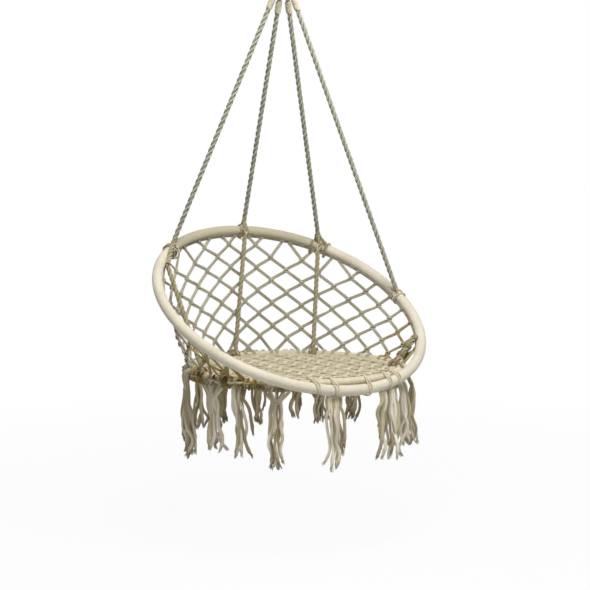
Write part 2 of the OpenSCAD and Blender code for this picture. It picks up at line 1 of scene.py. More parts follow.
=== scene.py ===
# %% [markdown]
# # A hanging hammock chair in cotton cord
# The chair is a padded back hoop and a smaller seat hoop, tied together at the front. A knotted net
# closes the back, four laid ropes carry the weight, and a fringe of tassels hangs under the seat.
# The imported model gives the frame: its steel fittings stay as they are, and every soft solid is
# replaced here by real cords, knots and cloth in the same place.

# %% Load the frame
import math

import bpy
import numpy as np
from mathutils import Matrix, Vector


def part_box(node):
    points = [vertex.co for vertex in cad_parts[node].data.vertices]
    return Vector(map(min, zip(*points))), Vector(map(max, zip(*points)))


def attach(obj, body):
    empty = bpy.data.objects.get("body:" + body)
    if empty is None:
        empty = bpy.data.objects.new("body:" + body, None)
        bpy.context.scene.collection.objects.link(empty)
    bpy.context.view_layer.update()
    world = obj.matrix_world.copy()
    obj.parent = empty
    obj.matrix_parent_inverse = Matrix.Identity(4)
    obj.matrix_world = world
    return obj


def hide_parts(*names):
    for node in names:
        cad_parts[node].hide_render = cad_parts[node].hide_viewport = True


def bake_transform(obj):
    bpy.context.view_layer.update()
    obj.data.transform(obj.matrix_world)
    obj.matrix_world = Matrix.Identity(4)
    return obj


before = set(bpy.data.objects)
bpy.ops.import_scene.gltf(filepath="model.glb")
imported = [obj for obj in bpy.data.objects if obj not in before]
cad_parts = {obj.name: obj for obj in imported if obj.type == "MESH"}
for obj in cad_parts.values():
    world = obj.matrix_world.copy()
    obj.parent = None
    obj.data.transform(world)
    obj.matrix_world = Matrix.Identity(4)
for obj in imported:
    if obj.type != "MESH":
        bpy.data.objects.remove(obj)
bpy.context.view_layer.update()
draw = np.random.default_rng(11)

# %% [markdown]
# ## The two hoops as a set of directions
# Everything on the chair is placed by an angle round one of the hoops, counted from the back towards
# the right. The middle, the radius and the tilt of each hoop are read from the frame's own boxes, so
# the cords land on the hoops without any fitting by eye.

# %% Measures of the hoops
HOOP_OUT = 0.015
HEM_D = 0.006
HEM_TURN = math.radians(52)
X_AXIS = np.array([1.0, 0.0, 0.0])
Z_AXIS = np.array([0.0, 0.0, 1.0])


def node_box(node):
    low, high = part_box(node)
    return np.array(low), np.array(high)


def unit(v):
    return v / np.linalg.norm(v)


def across(v, along):
    return unit(v - (v @ along) * along)


low, high = node_box("seat_hoop_wrap")
SEAT_MID = (low + high) / 2
SEAT_OUT = (high - low)[2] / 2
SEAT_R = (high - low)[0] / 2 - SEAT_OUT
low, high = node_box("back_hoop_cover")
HOOP_MID = (low + high) / 2
HOOP_R = (high - low)[0] / 2 - HOOP_OUT
HOOP_TILT = math.asin(((high - low)[2] / 2 - HOOP_OUT) / HOOP_R)
HOOP_BACK = np.array([0, math.cos(HOOP_TILT), math.sin(HOOP_TILT)])
HOOP_DOWN = np.array([0, math.sin(HOOP_TILT), -math.cos(HOOP_TILT)])
HEM_REACH = HOOP_OUT + HEM_D / 2


def sin_cos(angle):
    return math.sin(math.radians(angle)), math.cos(math.radians(angle))


def hoop_inward(angle):
    s, c = sin_cos(angle)
    return -s * X_AXIS - c * HOOP_BACK


def hoop_along(angle):
    s, c = sin_cos(angle)
    return c * X_AXIS - s * HOOP_BACK


def hoop_point(angle):
    return HOOP_MID - HOOP_R * hoop_inward(angle)


def hem_way(angle):
    return math.cos(HEM_TURN) * hoop_inward(angle) + math.sin(HEM_TURN) * HOOP_DOWN


def hem_point(angle):
    return hoop_point(angle) + HEM_REACH * hem_way(angle)


def seat_inward(angle):
    s, c = sin_cos(angle)
    return np.array([-s, -c, 0.0])


def seat_along(angle):
    s, c = sin_cos(angle)
    return np.array([c, -s, 0.0])


def seat_point(angle):
    return SEAT_MID - SEAT_R * seat_inward(angle)


print("hoop radius", round(HOOP_R, 4), "tilt", round(math.degrees(HOOP_TILT), 2))
print("seat radius", round(SEAT_R, 4), "seat middle", SEAT_MID.round(4))

# %% [markdown]
# ## The camera
# The photograph was taken a little from the left and just above the seat. A camera's own axes are
# worked out from that turn and rise, and written straight into its matrix, which is exact and needs
# no tracking. The lens follows from how many picture widths away the chair stands.

# %% Place the camera
VIEW_TURN, VIEW_RISE = math.radians(-32.9), math.radians(5.2)
VIEW_REACH = 4.0
VIEW_SHIFT = (0.0017, 0.2121)
VIEW_LENS = 83.37


def stand(made, place, right, up, back):
    """Puts a camera or lamp in its place, looking against its back direction."""
    turn = Matrix((right, up, back)).transposed().to_4x4()
    made.matrix_world = Matrix.Translation(place) @ turn


view_back = np.array([
    math.sin(VIEW_TURN) * math.cos(VIEW_RISE),
    -math.cos(VIEW_TURN) * math.cos(VIEW_RISE),
    math.sin(VIEW_RISE),
])
view_right = np.array([math.cos(VIEW_TURN), math.sin(VIEW_TURN), 0.0])
view_up = np.cross(view_back, view_right)
eye = SEAT_MID + VIEW_REACH * view_back + VIEW_SHIFT[0] * view_right + VIEW_SHIFT[1] * view_up

bpy.ops.object.select_all(action="DESELECT")
bpy.ops.object.camera_add()
camera = bpy.context.object
camera.name = "photo_camera"
camera.data.lens = VIEW_LENS
camera.data.clip_end = 50
stand(camera, eye.tolist(), view_right, view_up, view_back)
bpy.context.scene.camera = camera
bpy.context.scene.view_settings.view_transform = "Standard"
print("camera at", eye.round(3))

# %% [markdown]
# ## Cotton finishes
# Every cord here is spun cotton: fibres twisted into plies, and the plies twisted the other way into
# a cord. The cords carry a UV map whose U is metres along the cord and whose V goes once round it, so
# a slanted wave in U and V draws the plies at their true size. The same wave lifts the bump and paints
# shade into the grooves between the plies, and a per-cord tone keeps neighbours from looking copied.

# %% Small helpers for node trees


def tint(red, green, blue):
    """A colour as read from a screen, as the linear values that a shader wants."""
    c = np.array([red, green, blue]) / 255
    return (*np.where(c <= 0.04045, c / 12.92, ((c + 0.055) / 1.055) ** 2.4).tolist(), 1.0)


def wire(tree, value, socket):
    if isinstance(value, bpy.types.NodeSocket):
        tree.links.new(value, socket)
    else:
        socket.default_value = value


def node(tree, kind, inputs, **settings):
    """The outputs of a new node. Its inputs are values or the outputs of other nodes."""
    made = tree.nodes.new("ShaderNode" + kind)
    for name, value in settings.items():
        setattr(made, name, value)
    for name, value in inputs.items():
        wire(tree, value, made.inputs[name])
    return made.outputs


def calc(tree, operation, *values):
    return node(tree, "Math", dict(enumerate(values)), operation=operation)[0]


def speckle(tree, coordinates, scale, detail=2.0):
    return node(tree, "TexNoise", {"Vector": coordinates, "Scale": scale, "Detail": detail})["Fac"]


def ramp(tree, factor, *stops):
    made = tree.nodes.new("ShaderNodeValToRGB")
    wire(tree, factor, made.inputs["Fac"])
    for element, (place, colour) in zip(made.color_ramp.elements, stops):
        element.position = place
        element.color = colour
    return made.outputs["Color"]


def blank_finish(name, look):
    finish = bpy.data.materials.new(name)
    finish.use_nodes = True
    surface = finish.node_tree.nodes["Principled BSDF"]
    for key, value in look.items():
        surface.inputs[key].default_value = value
    return finish, finish.node_tree, surface


def relief(tree, surface, height, strength, distance):
    inputs = {"Strength": strength, "Distance": distance, "Height": height}
    wire(tree, node(tree, "Bump", inputs)["Normal"], surface.inputs["Normal"])


def cotton_finish(name, look):
    """A matt cotton surface, with its place in space and its U and V to draw threads by."""
    finish, tree, surface = blank_finish(name, look)
    coordinates = node(tree, "TexCoord", {})
    u, v, _ = node(tree, "SeparateXYZ", {0: coordinates["UV"]})
    return finish, tree, surface, coordinates["Object"], u, v


# %% Yarn finish
YARN_LOOK = {"Roughness": 0.92, "Sheen Weight": 0.25, "Sheen Roughness": 0.6, "Specular IOR Level": 0.2}
FIBRE_SCALE, STAIN_SCALE = 700, 16
PLY_ROUND, FIBRE_SHADE, FIBRE_LIFT = 0.55, (0.5, 0.72), 0.35
TONE_BRIGHT, TONE_STRONG, STAIN_BRIGHT = (0.26, 0.78), (-0.3, 1.25), 0.16


def yarn_finish(name, light, dark, pitch, plies, depth=0.0009):
    finish, tree, surface, place, u, v = cotton_finish(name, YARN_LOOK)
    tone = node(tree, "Attribute", {}, attribute_name="tone")["Fac"]
    along = calc(tree, "MULTIPLY", u, math.pi / pitch)
    around = calc(tree, "MULTIPLY", v, math.pi * plies)
    ridge = calc(tree, "ABSOLUTE", calc(tree, "SINE", calc(tree, "ADD", along, around)))
    fibre, stain = speckle(tree, place, FIBRE_SCALE), speckle(tree, place, STAIN_SCALE)

    # Painted shade: the colour runs to the dark colour in the grooves between the plies.
    shade = calc(tree, "POWER", ridge, PLY_ROUND)
    shade = calc(tree, "MULTIPLY", shade, calc(tree, "MULTIPLY_ADD", fibre, *FIBRE_SHADE))
    bright = calc(tree, "MULTIPLY_ADD", tone, *TONE_BRIGHT)
    # Low tones turn more saturated and so browner; this holds for random tones and for tones lowered as
    # painted shade.
    colour = node(tree, "HueSaturation", {
        "Color": ramp(tree, shade, (0.05, dark), (0.95, light)),
        "Value": calc(tree, "MULTIPLY_ADD", stain, STAIN_BRIGHT, bright),
        "Saturation": calc(tree, "MULTIPLY_ADD", tone, *TONE_STRONG),
    })
    wire(tree, colour["Color"], surface.inputs["Base Color"])
    height = calc(tree, "MULTIPLY_ADD", fibre, FIBRE_LIFT, ridge)
    relief(tree, surface, height, strength=0.9, distance=depth)
    return finish


# The second colour of each yarn is the painted shade in its ply grooves.
rope_yarn = yarn_finish("rope_yarn", tint(190, 188, 172), tint(84, 80, 64), 0.0042, 3)
stay_yarn = yarn_finish("stay_yarn", tint(186, 176, 144), tint(76, 66, 42), 0.0042, 3)
net_yarn = yarn_finish("net_yarn", tint(192, 186, 164), tint(98, 90, 68), 0.0050, 3)
# A darker, browner copy of the net yarn, as painted shade on the front strips.
shaded_front_yarn = yarn_finish("shaded_front_yarn", tint(186, 169, 126), tint(82, 67, 38), 0.0056, 3)
# A darker, browner copy of the yarn, as painted shade on the seat's edge and the stays' feet.
shaded_edge_yarn = yarn_finish("shaded_edge_yarn", tint(178, 159, 116), tint(62, 51, 29), 0.0050, 3)
seat_yarn = yarn_finish("seat_yarn", tint(224, 214, 186), tint(150, 136, 104), 0.0050, 3)
fringe_yarn = yarn_finish("fringe_yarn", tint(232, 222, 196), tint(104, 88, 56), 0.0052, 3)
twine_yarn = yarn_finish("twine_yarn", tint(226, 216, 192), tint(150, 138, 108), 0.0024, 2, 0.0005)
print("yarns ready")

# %% [markdown]
# ## Cloth and steel
# The back hoop wears a sleeve of smooth brushed cotton over foam. Its threads are less than a
# millimetre apart, so a fine wave in the sleeve's own UV map is enough. At the back the cloth is
# painted a little greyer, as shade. The hanging fittings are zinc plated steel: a cell pattern
# gives the zinc's flakes, and a fine noise roughens the worn places.

# %% Sleeve finish
CLOTH_LOOK = {"Roughness": 0.85, "Sheen Weight": 0.3, "Sheen Roughness": 0.5, "Specular IOR Level": 0.25}
THREAD, WEAVE_SHARE = 0.0014, 0.08
SLUB_SCALE, STAIN_WIDE = 260, 9
BACK_SHADE_FROM, BACK_SHADE_TO = 0.66, 0.82


def sleeve_finish(name, light, shade, wear_and_shade):
    finish, tree, surface, place, u, v = cotton_finish(name, CLOTH_LOOK)
    warp, weft = (calc(tree, "SINE", calc(tree, "MULTIPLY", way, math.tau / THREAD)) for way in (u, v))
    weave = calc(tree, "MULTIPLY", warp, weft)
    slub, stain = speckle(tree, place, SLUB_SCALE, 4), speckle(tree, place, STAIN_WIDE, 3)
    mix = calc(tree, "MULTIPLY_ADD", slub, 0.5, calc(tree, "MULTIPLY", stain, 0.5))
    mix = calc(tree, "MULTIPLY_ADD", weave, WEAVE_SHARE, mix)
    aim = {0: place, 1: (HOOP_BACK / HOOP_R).tolist()}
    depth = node(tree, "VectorMath", aim, operation="DOT_PRODUCT")["Value"]
    middle = HOOP_MID @ HOOP_BACK / HOOP_R
    back = {"Value": depth, "From Min": middle + BACK_SHADE_FROM, "From Max": middle + BACK_SHADE_TO}
    # Painted shade: towards the back of the hoop the cloth turns to its third, greyer colour.
    back_shaded = node(tree, "Mix", {
        "Factor": node(tree, "MapRange", back)["Result"],
        "A": ramp(tree, mix, (0.3, shade), (0.62, light)),
        "B": wear_and_shade,
    }, data_type="RGBA")
    wire(tree, back_shaded["Result"], surface.inputs["Base Color"])
    height = calc(tree, "MULTIPLY_ADD", slub, 0.8, weave)
    relief(tree, surface, height, strength=0.35, distance=0.0004)
    return finish


# The third colour of each cloth is painted shade at the back of the hoop.
cover_cloth = sleeve_finish("cover_cloth", tint(226, 218, 198), tint(200, 190, 166), tint(186, 178, 150))
# The hem's cloth is a darker copy of the sleeve's cloth: painted shade for the hem under the hoop.
shaded_hem_cloth = sleeve_finish("shaded_hem_cloth", tint(176, 166, 140), tint(136, 124, 96), tint(146, 134, 106))
print("cloths ready")

# %% Zinc plated steel
FLAKE_SCALE, WEAR_SCALE = 160, 60
STEEL_NODES = [
    "ceiling_plate", "swivel_eye", "hook_body", "hook_gate", "gate_pin", "gathering_ring",
    "back_hoop_tube", "seat_hoop_tube",
]


def zinc_finish(name, light, dark):
    finish, tree, surface = blank_finish(name, {"Metallic": 1.0})
    place = node(tree, "TexCoord", {})["Object"]
    flake = node(tree, "TexVoronoi", {"Vector": place, "Scale": FLAKE_SCALE})["Color"]
    grey = node(tree, "RGBToBW", {0: flake})[0]
    wear_and_shade = speckle(tree, place, WEAR_SCALE, 5)
    mix = calc(tree, "MULTIPLY_ADD", grey, 0.45, calc(tree, "MULTIPLY", wear_and_shade, 0.6))
    wire(tree, ramp(tree, mix, (0.2, dark), (0.8, light)), surface.inputs["Base Color"])
    wire(tree, calc(tree, "MULTIPLY_ADD", wear_and_shade, 0.35, 0.2), surface.inputs["Roughness"])
    relief(tree, surface, wear_and_shade, strength=0.15, distance=0.0003)
    return finish


zinc = zinc_finish("zinc_steel", tint(206, 208, 210), tint(150, 152, 156))
for name in STEEL_NODES:
    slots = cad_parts[name].data.materials
    slots.clear()
    slots.append(zinc)
print("steel pieces:", len(STEEL_NODES))

# %% [markdown]
# ## Cords as swept tubes
# A cord could be a curve with a round bevel, but the plies of a rope, a per-cord tone and a share
# between two moving bodies are easier on a mesh. So a route is a list of points, a tube is a ring of
# points carried along it without twisting, and a bundle gathers many tubes into one piece.

# %% Routes


def evenly(points, step):
    """Points at even steps along the smooth curve through the given ones."""
    points = np.asarray(points, float)
    ends = np.vstack([2 * points[0] - points[1], points, 2 * points[-1] - points[-2]])
    t = np.linspace(0, 1, 10, endpoint=False)[:, None]
    fine = [
        b + 0.5 * t * (c - a + t * (2 * a - 5 * b + 4 * c - d + t * (3 * (b - c) + d - a)))
        for a, b, c, d in zip(ends, ends[1:], ends[2:], ends[3:])
    ]
    fine = np.vstack([*fine, points[-1:]])
    length = route_length(fine)
    places = np.linspace(0, length[-1], max(3, round(length[-1] / step) + 1))
    return np.stack([np.interp(places, length, fine[:, i]) for i in range(3)], axis=1)


def route_length(route):
    steps = np.linalg.norm(np.diff(route, axis=0), axis=1)
    return np.concatenate([[0.0], np.cumsum(steps)])


def carried(route, first=None):
    """Two directions across a route, carried along it without twisting."""
    ways = np.gradient(route, axis=0)
    ways /= np.linalg.norm(ways, axis=1)[:, None]
    if first is None:
        first = np.eye(3)[np.argmin(np.abs(ways[0]))]
    sides = []
    for way in ways:
        first = across(first, way)
        sides.append(first)
    sides = np.array(sides)
    return sides, np.cross(ways, sides)


def twisted(route, strands, reach, lay, phase=0.0):
    """The routes of strands that are laid round a centre line."""
    side, other = carried(route)
    turn = math.tau * route_length(route) / lay + phase
    for k in range(strands):
        t = (turn + math.tau * k / strands)[:, None]
        yield route + reach * (np.cos(t) * side + np.sin(t) * other)


# %% Bundles
GROOVE_SHADE, GROOVE_SHADE_EDGE, GROOVE_SHADE_WIDTH = 1.7, 0.92, 0.3


class Bundle:
    """Tubes and stamped shapes that become one piece."""

    def __init__(self):
        self.points, self.faces, self.uvs, self.tones, self.shares = [], [], [], [], []
        self.size = 0

    def add(self, points, faces, uvs, tone, share):
        self.points.append(points)
        self.faces += [[self.size + corner for corner in face] for face in faces]
        self.uvs.append(uvs)
        self.tones.append(np.broadcast_to(tone, len(points)))
        self.shares.append(np.broadcast_to(share, len(points)))
        self.size += len(points)

    def tube(self, route, radius, sides=8, tone=None, share=0.0, first=None, core=None):
        side, other = carried(route, first)
        count = len(route)
        t = np.linspace(0, math.tau, sides, endpoint=False)[:, None]
        radius = np.broadcast_to(radius, count)[:, None, None]
        ring = np.cos(t) * side[:, None] + np.sin(t) * other[:, None]
        points = (route[:, None] + radius * ring).reshape(-1, 3)
        i, k = (g.ravel() for g in np.meshgrid(range(count - 1), range(sides), indexing="ij"))
        after = (k + 1) % sides
        a, b = i * sides, (i + 1) * sides
        faces = np.stack([a + k, a + after, b + after, b + k], axis=1).tolist()
        u = route_length(route)
        corners = [(u[i], k), (u[i], k + 1), (u[i + 1], k + 1), (u[i + 1], k)]
        uvs = np.stack([np.stack([p, q / sides], axis=1) for p, q in corners], axis=1).reshape(-1, 2)
        last = (count - 1) * sides
        faces += [list(range(sides))[::-1], list(range(last, last + sides))]
        round_v = np.arange(sides) / sides
        lids = [np.stack([np.full(sides, end), round_v], axis=1) for end in (u[0], u[-1])]
        share = np.repeat(np.broadcast_to(share, count), sides)
        tone = any_tone(tone)
        # Painted shade: points close to the core, in the grooves between a rope's strands, get a lower
        # tone.
        if core is not None:
            reach = np.linalg.norm(points - np.repeat(core, sides, axis=0), axis=1)
            deep = (GROOVE_SHADE_EDGE - reach / reach.max()) / GROOVE_SHADE_WIDTH
            tone = tone - GROOVE_SHADE * np.clip(deep, 0, 1)
        self.add(points, faces, np.vstack([uvs, *lids]), tone, share)

    def stamp(self, pattern, origin, x, y, z, tone=None, share=0.0):
        points, faces, uvs = pattern
        self.add(points @ np.array([x, y, z]) + origin, faces, uvs, any_tone(tone), share)

    def piece(self, name, finish, body=None, slot=None, stands_for=()):
        mesh = bpy.data.meshes.new(name)
        mesh.from_pydata(np.vstack(self.points).tolist(), [], self.faces)
        mesh.uv_layers.new(name="UVMap").data.foreach_set("uv", np.vstack(self.uvs).ravel())
        tones = mesh.attributes.new("tone", "FLOAT", "POINT")
        tones.data.foreach_set("value", np.concatenate(self.tones))
        mesh.shade_smooth()
        mesh.materials.append(finish)
        made = bpy.data.objects.new(name, mesh)
        bpy.context.scene.collection.objects.link(made)
        if body:
            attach(made, body)
        else:
            self.share_between(made)
        if stands_for:
            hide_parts(*stands_for)
        return made

    def share_between(self, made):
        """Bakes the piece's place into its mesh, and gathers each point's share between the chair and the
        seat.
        """
        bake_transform(made)
        shares = np.concatenate(self.shares).astype(np.float32)


def any_tone(tone):
    return draw.uniform(0.25, 1.0) if tone is None else tone


# %% [markdown]
# ## The four ropes and the four stays
# The ropes are three strand laid cotton. In the photograph the strands show as slanted dashes about
# 20 mm apart, so one full turn of a strand takes 60 mm. Each strand is a swept tube on a helix, which
# gives the real scalloped outline. The stays inside the net are the same rope, laid a little harder.

# %% Routes of the ropes
HITCH_ANGLES = [-40.5, 5.5, 42.5, 88.5]
STAY_ANGLES = [-54.0, 5.5, 42.5, 121.0]
FOOT_ANGLES = [-83.0, -6.5, 44.5, 121.0]
EYE_ANGLES = [-48, -19, 19, 48]
ROPE_D, STAY_D = 0.015, 0.015
EYE_DROP, WHIP_LEN, HITCH_H = 0.017, 0.034, 0.024
SEAT_CORD_T = 0.008
HOOP_GAP, SEAT_GAP = 0.0009, 0.0006
TUCK = 0.014
ROPE_LAY, STAY_LAY = 0.060, 0.052

low, high = node_box("gathering_ring")
RING_MID = (low + high) / 2
RING_WIRE = (high - low)[1]
RING_R = (high - low)[0] / 2 - RING_WIRE / 2


def ring_point(k):
    s, c = sin_cos(EYE_ANGLES[k])
    return RING_MID + RING_R * np.array([s, 0.0, -c])


def rope_way(k):
    return unit(hoop_point(HITCH_ANGLES[k]) - ring_point(k))


def rope_top(k):
    return ring_point(k) + (EYE_DROP + WHIP_LEN) * rope_way(k)


def rope_foot(k):
    return hoop_point(HITCH_ANGLES[k]) - (HOOP_OUT + HITCH_H) * rope_way(k)


def stay_ends(k):
    hitch, foot = STAY_ANGLES[k], FOOT_ANGLES[k]
    top = hoop_point(hitch) + (HOOP_OUT + HOOP_GAP + STAY_D / 2) * hoop_inward(hitch)
    low = seat_point(foot) + (SEAT_OUT + SEAT_GAP + STAY_D / 2) * seat_inward(foot)
    lean = np.linalg.norm(unit(low - top)[:2])
    return top, low + (SEAT_CORD_T / 2 + SEAT_GAP + STAY_D / 2 * lean) * Z_AXIS


for k in range(4):
    print("rope", k + 1, "from", rope_top(k).round(3), "to", rope_foot(k).round(3))

# %% Lay the strands
STRAND_SHARE, REACH_SHARE = 0.238, 0.262
ROPE_STEP = 0.0042


def lay_rope(bundle, route, diameter, lay, share=0.0):
    """Three strands, each a little under half the rope's thickness, laid round its centre line."""
    for strand in twisted(route, 3, REACH_SHARE * diameter, lay):
        bundle.tube(strand, STRAND_SHARE * diameter, sides=9, share=share, core=route)


def taut_cord(route, diameter):
    """Works out the start and the length of a rope that is tied at both its ends."""
    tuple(route[0])
    route_length(route)[-1]


for k in range(4):
    way = rope_way(k)
    route = evenly([rope_top(k) - TUCK * way, rope_foot(k) + TUCK * way], ROPE_STEP)
    bundle = Bundle()
    lay_rope(bundle, route, ROPE_D, ROPE_LAY)
    rope = bundle.piece(f"laid_rope_{k + 1}", rope_yarn, "chair", "cotton_rope", [f"rope_{k + 1}"])
    taut_cord(route, ROPE_D)

    top, low = stay_ends(k)
    way = unit(low - top)
    route = evenly([top - 0.5 * TUCK * way, low + 0.5 * TUCK * way], ROPE_STEP)
    bundle = Bundle()
    lay_rope(bundle, route, STAY_D, STAY_LAY, np.linspace(0, 1, len(route)))
    stay = bundle.piece(f"laid_stay_{k + 1}", stay_yarn, None, "cotton_rope", [f"stay_{k + 1}"])
    taut_cord(route, STAY_D)
    print("rope", k + 1, "and its stay:", len(rope.data.polygons), len(stay.data.polygons), "faces")

# %% [markdown]
# ## Rope eyes and whippings
# At the top each rope opens into a loop over the steel ring. The loop is one cord of two strands,
# bent over the ring's wire, and twine is wound tightly below it to hold the eye shut.

# %% Eyes over the ring
EYE_CORD_D, EYE_ROOM = 0.009, 0.0009
EYE_STRAND_R, EYE_STRAND_REACH, EYE_LAY = 0.0024, 0.0021, 0.024
TWINE_R, WHIP_R, COIL_POINTS = 0.00125, 0.0095, 16
WHIP_TURNS = WHIP_LEN / (2 * TWINE_R)

bundle, twine = Bundle(), Bundle()
for k in range(4):
    way, middle = rope_way(k), ring_point(k)
    s, c = sin_cos(EYE_ANGLES[k])
    ring_along = np.array([c, 0.0, s])
    side = np.cross(-way, across(ring_along, -way))
    eye_r = (RING_WIRE + EYE_CORD_D) / 2 / np.linalg.norm(np.cross(ring_along, way)) + EYE_ROOM
    leg = 0.5 * EYE_CORD_D * side
    bend = [eye_r * (math.cos(t) * side - math.sin(t) * way) for t in np.linspace(0, math.pi, 9)]
    deep = EYE_DROP + WHIP_LEN - TUCK
    path = [leg + deep * way, leg + EYE_DROP * way, *bend, EYE_DROP * way - leg, deep * way - leg]
    route = evenly([middle + p for p in path], 0.0028)
    for strand in twisted(route, 2, EYE_STRAND_REACH, EYE_LAY):
        bundle.tube(strand, EYE_STRAND_R, tone=0.7)

    t = np.linspace(0, 1, round(WHIP_TURNS * COIL_POINTS))
    turn = math.tau * WHIP_TURNS * t
    coil = np.outer(np.cos(turn), side) + np.outer(np.sin(turn), np.cross(way, side))
    coil = (WHIP_R - TWINE_R) * coil + np.outer(EYE_DROP + t * WHIP_LEN, way)
    twine.tube(middle + coil, TWINE_R, sides=6, first=way)
bundle.piece("eye_loops", rope_yarn, "chair", "cotton_rope", ["rope_eyes"])
twine.piece("whipping_twine", twine_yarn, "chair", "whipping_twine", ["rope_whippings"])
print("eyes and whippings done")

# %% [markdown]
# ## Patterns for knots
# The chair has a great many knots, so each kind is modelled once from torus primitives,
# tilted and flattened as wrapped cord is, and then stamped where it is needed. A stamp keeps the
# cord's thickness, and its UV map is stretched to metres so that the plies keep their size.

# %% Model a knot once
NET_CORD_R, KNOT_R, HEM_LOOP_R = 0.0026, 0.0066, 0.0022


def points_of(made):
    return np.array([v.co for v in made.data.vertices])


def uvs_of(made):
    return np.array([corner.uv for corner in made.data.uv_layers.active.data])


def wound_pattern(turns, cord_r, loop_r, flat=1.0, segments=14, sides=7):
    """A knot of cord turns: each turn is (height, tilt about x, tilt about y, share of the radius)."""
    bpy.ops.object.select_all(action="DESELECT")
    loops = []
    for height, tilt_x, tilt_y, share in turns:
        bpy.ops.mesh.primitive_torus_add(
            major_radius=loop_r * share, minor_radius=cord_r,
            major_segments=segments, minor_segments=sides,
            location=(0, 0, height), rotation=(math.radians(tilt_x), math.radians(tilt_y), 0),
        )
        loops.append(bpy.context.object)
    for loop in loops:
        loop.select_set(True)
    if len(loops) > 1:
        bpy.ops.object.join()
    knot = bpy.context.object
    bpy.ops.object.transform_apply(location=True, rotation=True, scale=True)
    bpy.ops.object.mode_set(mode="EDIT")
    bpy.ops.mesh.select_all(action="SELECT")
    bpy.ops.transform.resize(value=(1, flat, 1))
    bpy.ops.object.mode_set(mode="OBJECT")
    faces = [list(p.vertices) for p in knot.data.polygons]
    pattern = points_of(knot), faces, uvs_of(knot) * [math.tau * loop_r, 1]
    bpy.data.objects.remove(knot)
    return pattern


square_knot = wound_pattern(
    [(-0.0046, 12, -20, 0.92), (0, -10, 18, 1.12), (0.0046, 12, -20, 0.92)],
    NET_CORD_R, KNOT_R, flat=0.8,
)
hem_loop = wound_pattern([(0, 0, 8, 1)], HEM_LOOP_R, HEM_D / 2 + HEM_LOOP_R, segments=12, sides=6)
hoop_loop = wound_pattern([(0, 0, 4, 1)], NET_CORD_R, SEAT_OUT + NET_CORD_R, segments=20, sides=6)
print("square knot:", len(square_knot[1]), "faces")

# %% [markdown]
# ## The knotted net
# The net is alternating square knots: from each knot two pairs of cord go down to the two knots half
# a column away. A knot's place is an angle round the hoop and a drop from the hem. It is built in the
# twelve strips of the frame. Each point has a share from 0 at the hem to 1 at the seat hoop. At the
# front a few slanted pairs fill the low net, and the cords are painted darker towards the lower front,
# as shade.

# %% Places on the net
NET_STEP, NET_GROWTH, NET_OFFSET = 13.4, 0.64, -0.15
NET_HALF, NET_ROWS, NET_STRIPS, NET_LIMIT = 7, 15, 12, 131
NET_PITCH, NET_FIRST, NET_LEAST, NET_LAST = 0.036, 0.021, 0.017, 0.012
NET_RISE, NET_LEVEL, NET_MIDDLE = 0.0074, 1.15, -0.25
FOOT_SHARE, TIE_SHARE = 0.8, 0.75


def column_angle(n):
    """The columns stand wider apart towards the front."""
    return NET_STEP * n + NET_GROWTH * n * abs(n)


def net_column(i, j):
    return i + (j % 2) / 2 + NET_OFFSET


def net_angle(i, j):
    return column_angle(net_column(i, j))


def seat_turn(angle):
    x, y, _ = hem_point(angle) - SEAT_MID
    return math.degrees(math.atan2(x, y))


def net_ends(angle):
    hem, turn = hem_point(angle), seat_turn(angle)
    span = seat_point(turn) - hem
    top = hem + HEM_D / 2 * across(span, hoop_along(angle))
    return top, seat_point(turn) - SEAT_OUT * across(span, seat_along(turn))


def net_height(angle):
    top, low = net_ends(angle)
    return np.linalg.norm(low - top)


def knot_drop(i, j):
    """The rows run level towards the front, so the hem cuts them off there."""
    side = max(0.0, abs(net_column(i, j) - NET_MIDDLE) - NET_LEVEL)
    return NET_FIRST + j * NET_PITCH - NET_RISE * side**2


def knot_left(i, j):
    return net_height(net_angle(i, j)) - knot_drop(i, j)


def is_knot(i, j):
    if j < 0 or j >= NET_ROWS or abs(net_angle(i, j)) >= NET_LIMIT:
        return False
    return knot_drop(i, j) >= NET_LEAST and knot_left(i, j) >= NET_LAST


def net_share(i, j):
    return knot_drop(i, j) / net_height(net_angle(i, j))


def net_knot(i, j):
    top, low = net_ends(net_angle(i, j))
    return top + net_share(i, j) * (low - top)


def net_axes(angle):
    """Round the net, outwards from it and down it."""
    top, low = net_ends(angle)
    down = unit(low - top)
    round_way = across(seat_along(seat_turn(angle)), down)
    return round_way, np.cross(down, round_way), down


def strip_of(i):
    return (i + NET_HALF) * NET_STRIPS // (2 * NET_HALF + 1)


for a in (0, NET_LIMIT):
    print("net height at", a, "degrees:", round(net_height(a), 3))

# %% Pairs of cord in the net
PAIR_REACH, LEG_STEP, LEG_SIDES = 0.0025, 0.0065, 7
MOUTH_SIDE, MOUTH_DROP = 0.0034, 0.0046
ROLL_START, ROLL_TURN, PAIR_TONES, NET_SHADE = 0.2, 0.7, (0.3, 0.9), 2.4


def net_leg(bundle, stops, outwards, shares):
    """A pair of cords that lie side by side and roll over a little on their way."""
    route = evenly(stops, LEG_STEP)
    ways = np.gradient(route, axis=0)
    flat = np.cross(ways / np.linalg.norm(ways, axis=1)[:, None], outwards)
    roll = draw.normal(0, ROLL_START) + np.linspace(-0.5, 0.5, len(route)) * draw.normal(0, ROLL_TURN)
    offset = PAIR_REACH * (np.cos(roll)[:, None] * flat + np.outer(np.sin(roll), outwards))
    tone = draw.uniform(*PAIR_TONES)
    along = np.linspace(*shares, len(route))
    # Painted shade: the cords grow darker towards the seat and towards the front.
    painted_shade = NET_SHADE * along * np.clip(-(route - SEAT_MID)[:, 1] / SEAT_R, 0, 1)
    for cord in (route + offset, route - offset):
        shade = np.repeat(tone + draw.uniform(-0.1, 0.1) - painted_shade, LEG_SIDES)
        bundle.tube(cord, NET_CORD_R, sides=LEG_SIDES, tone=shade, share=along)


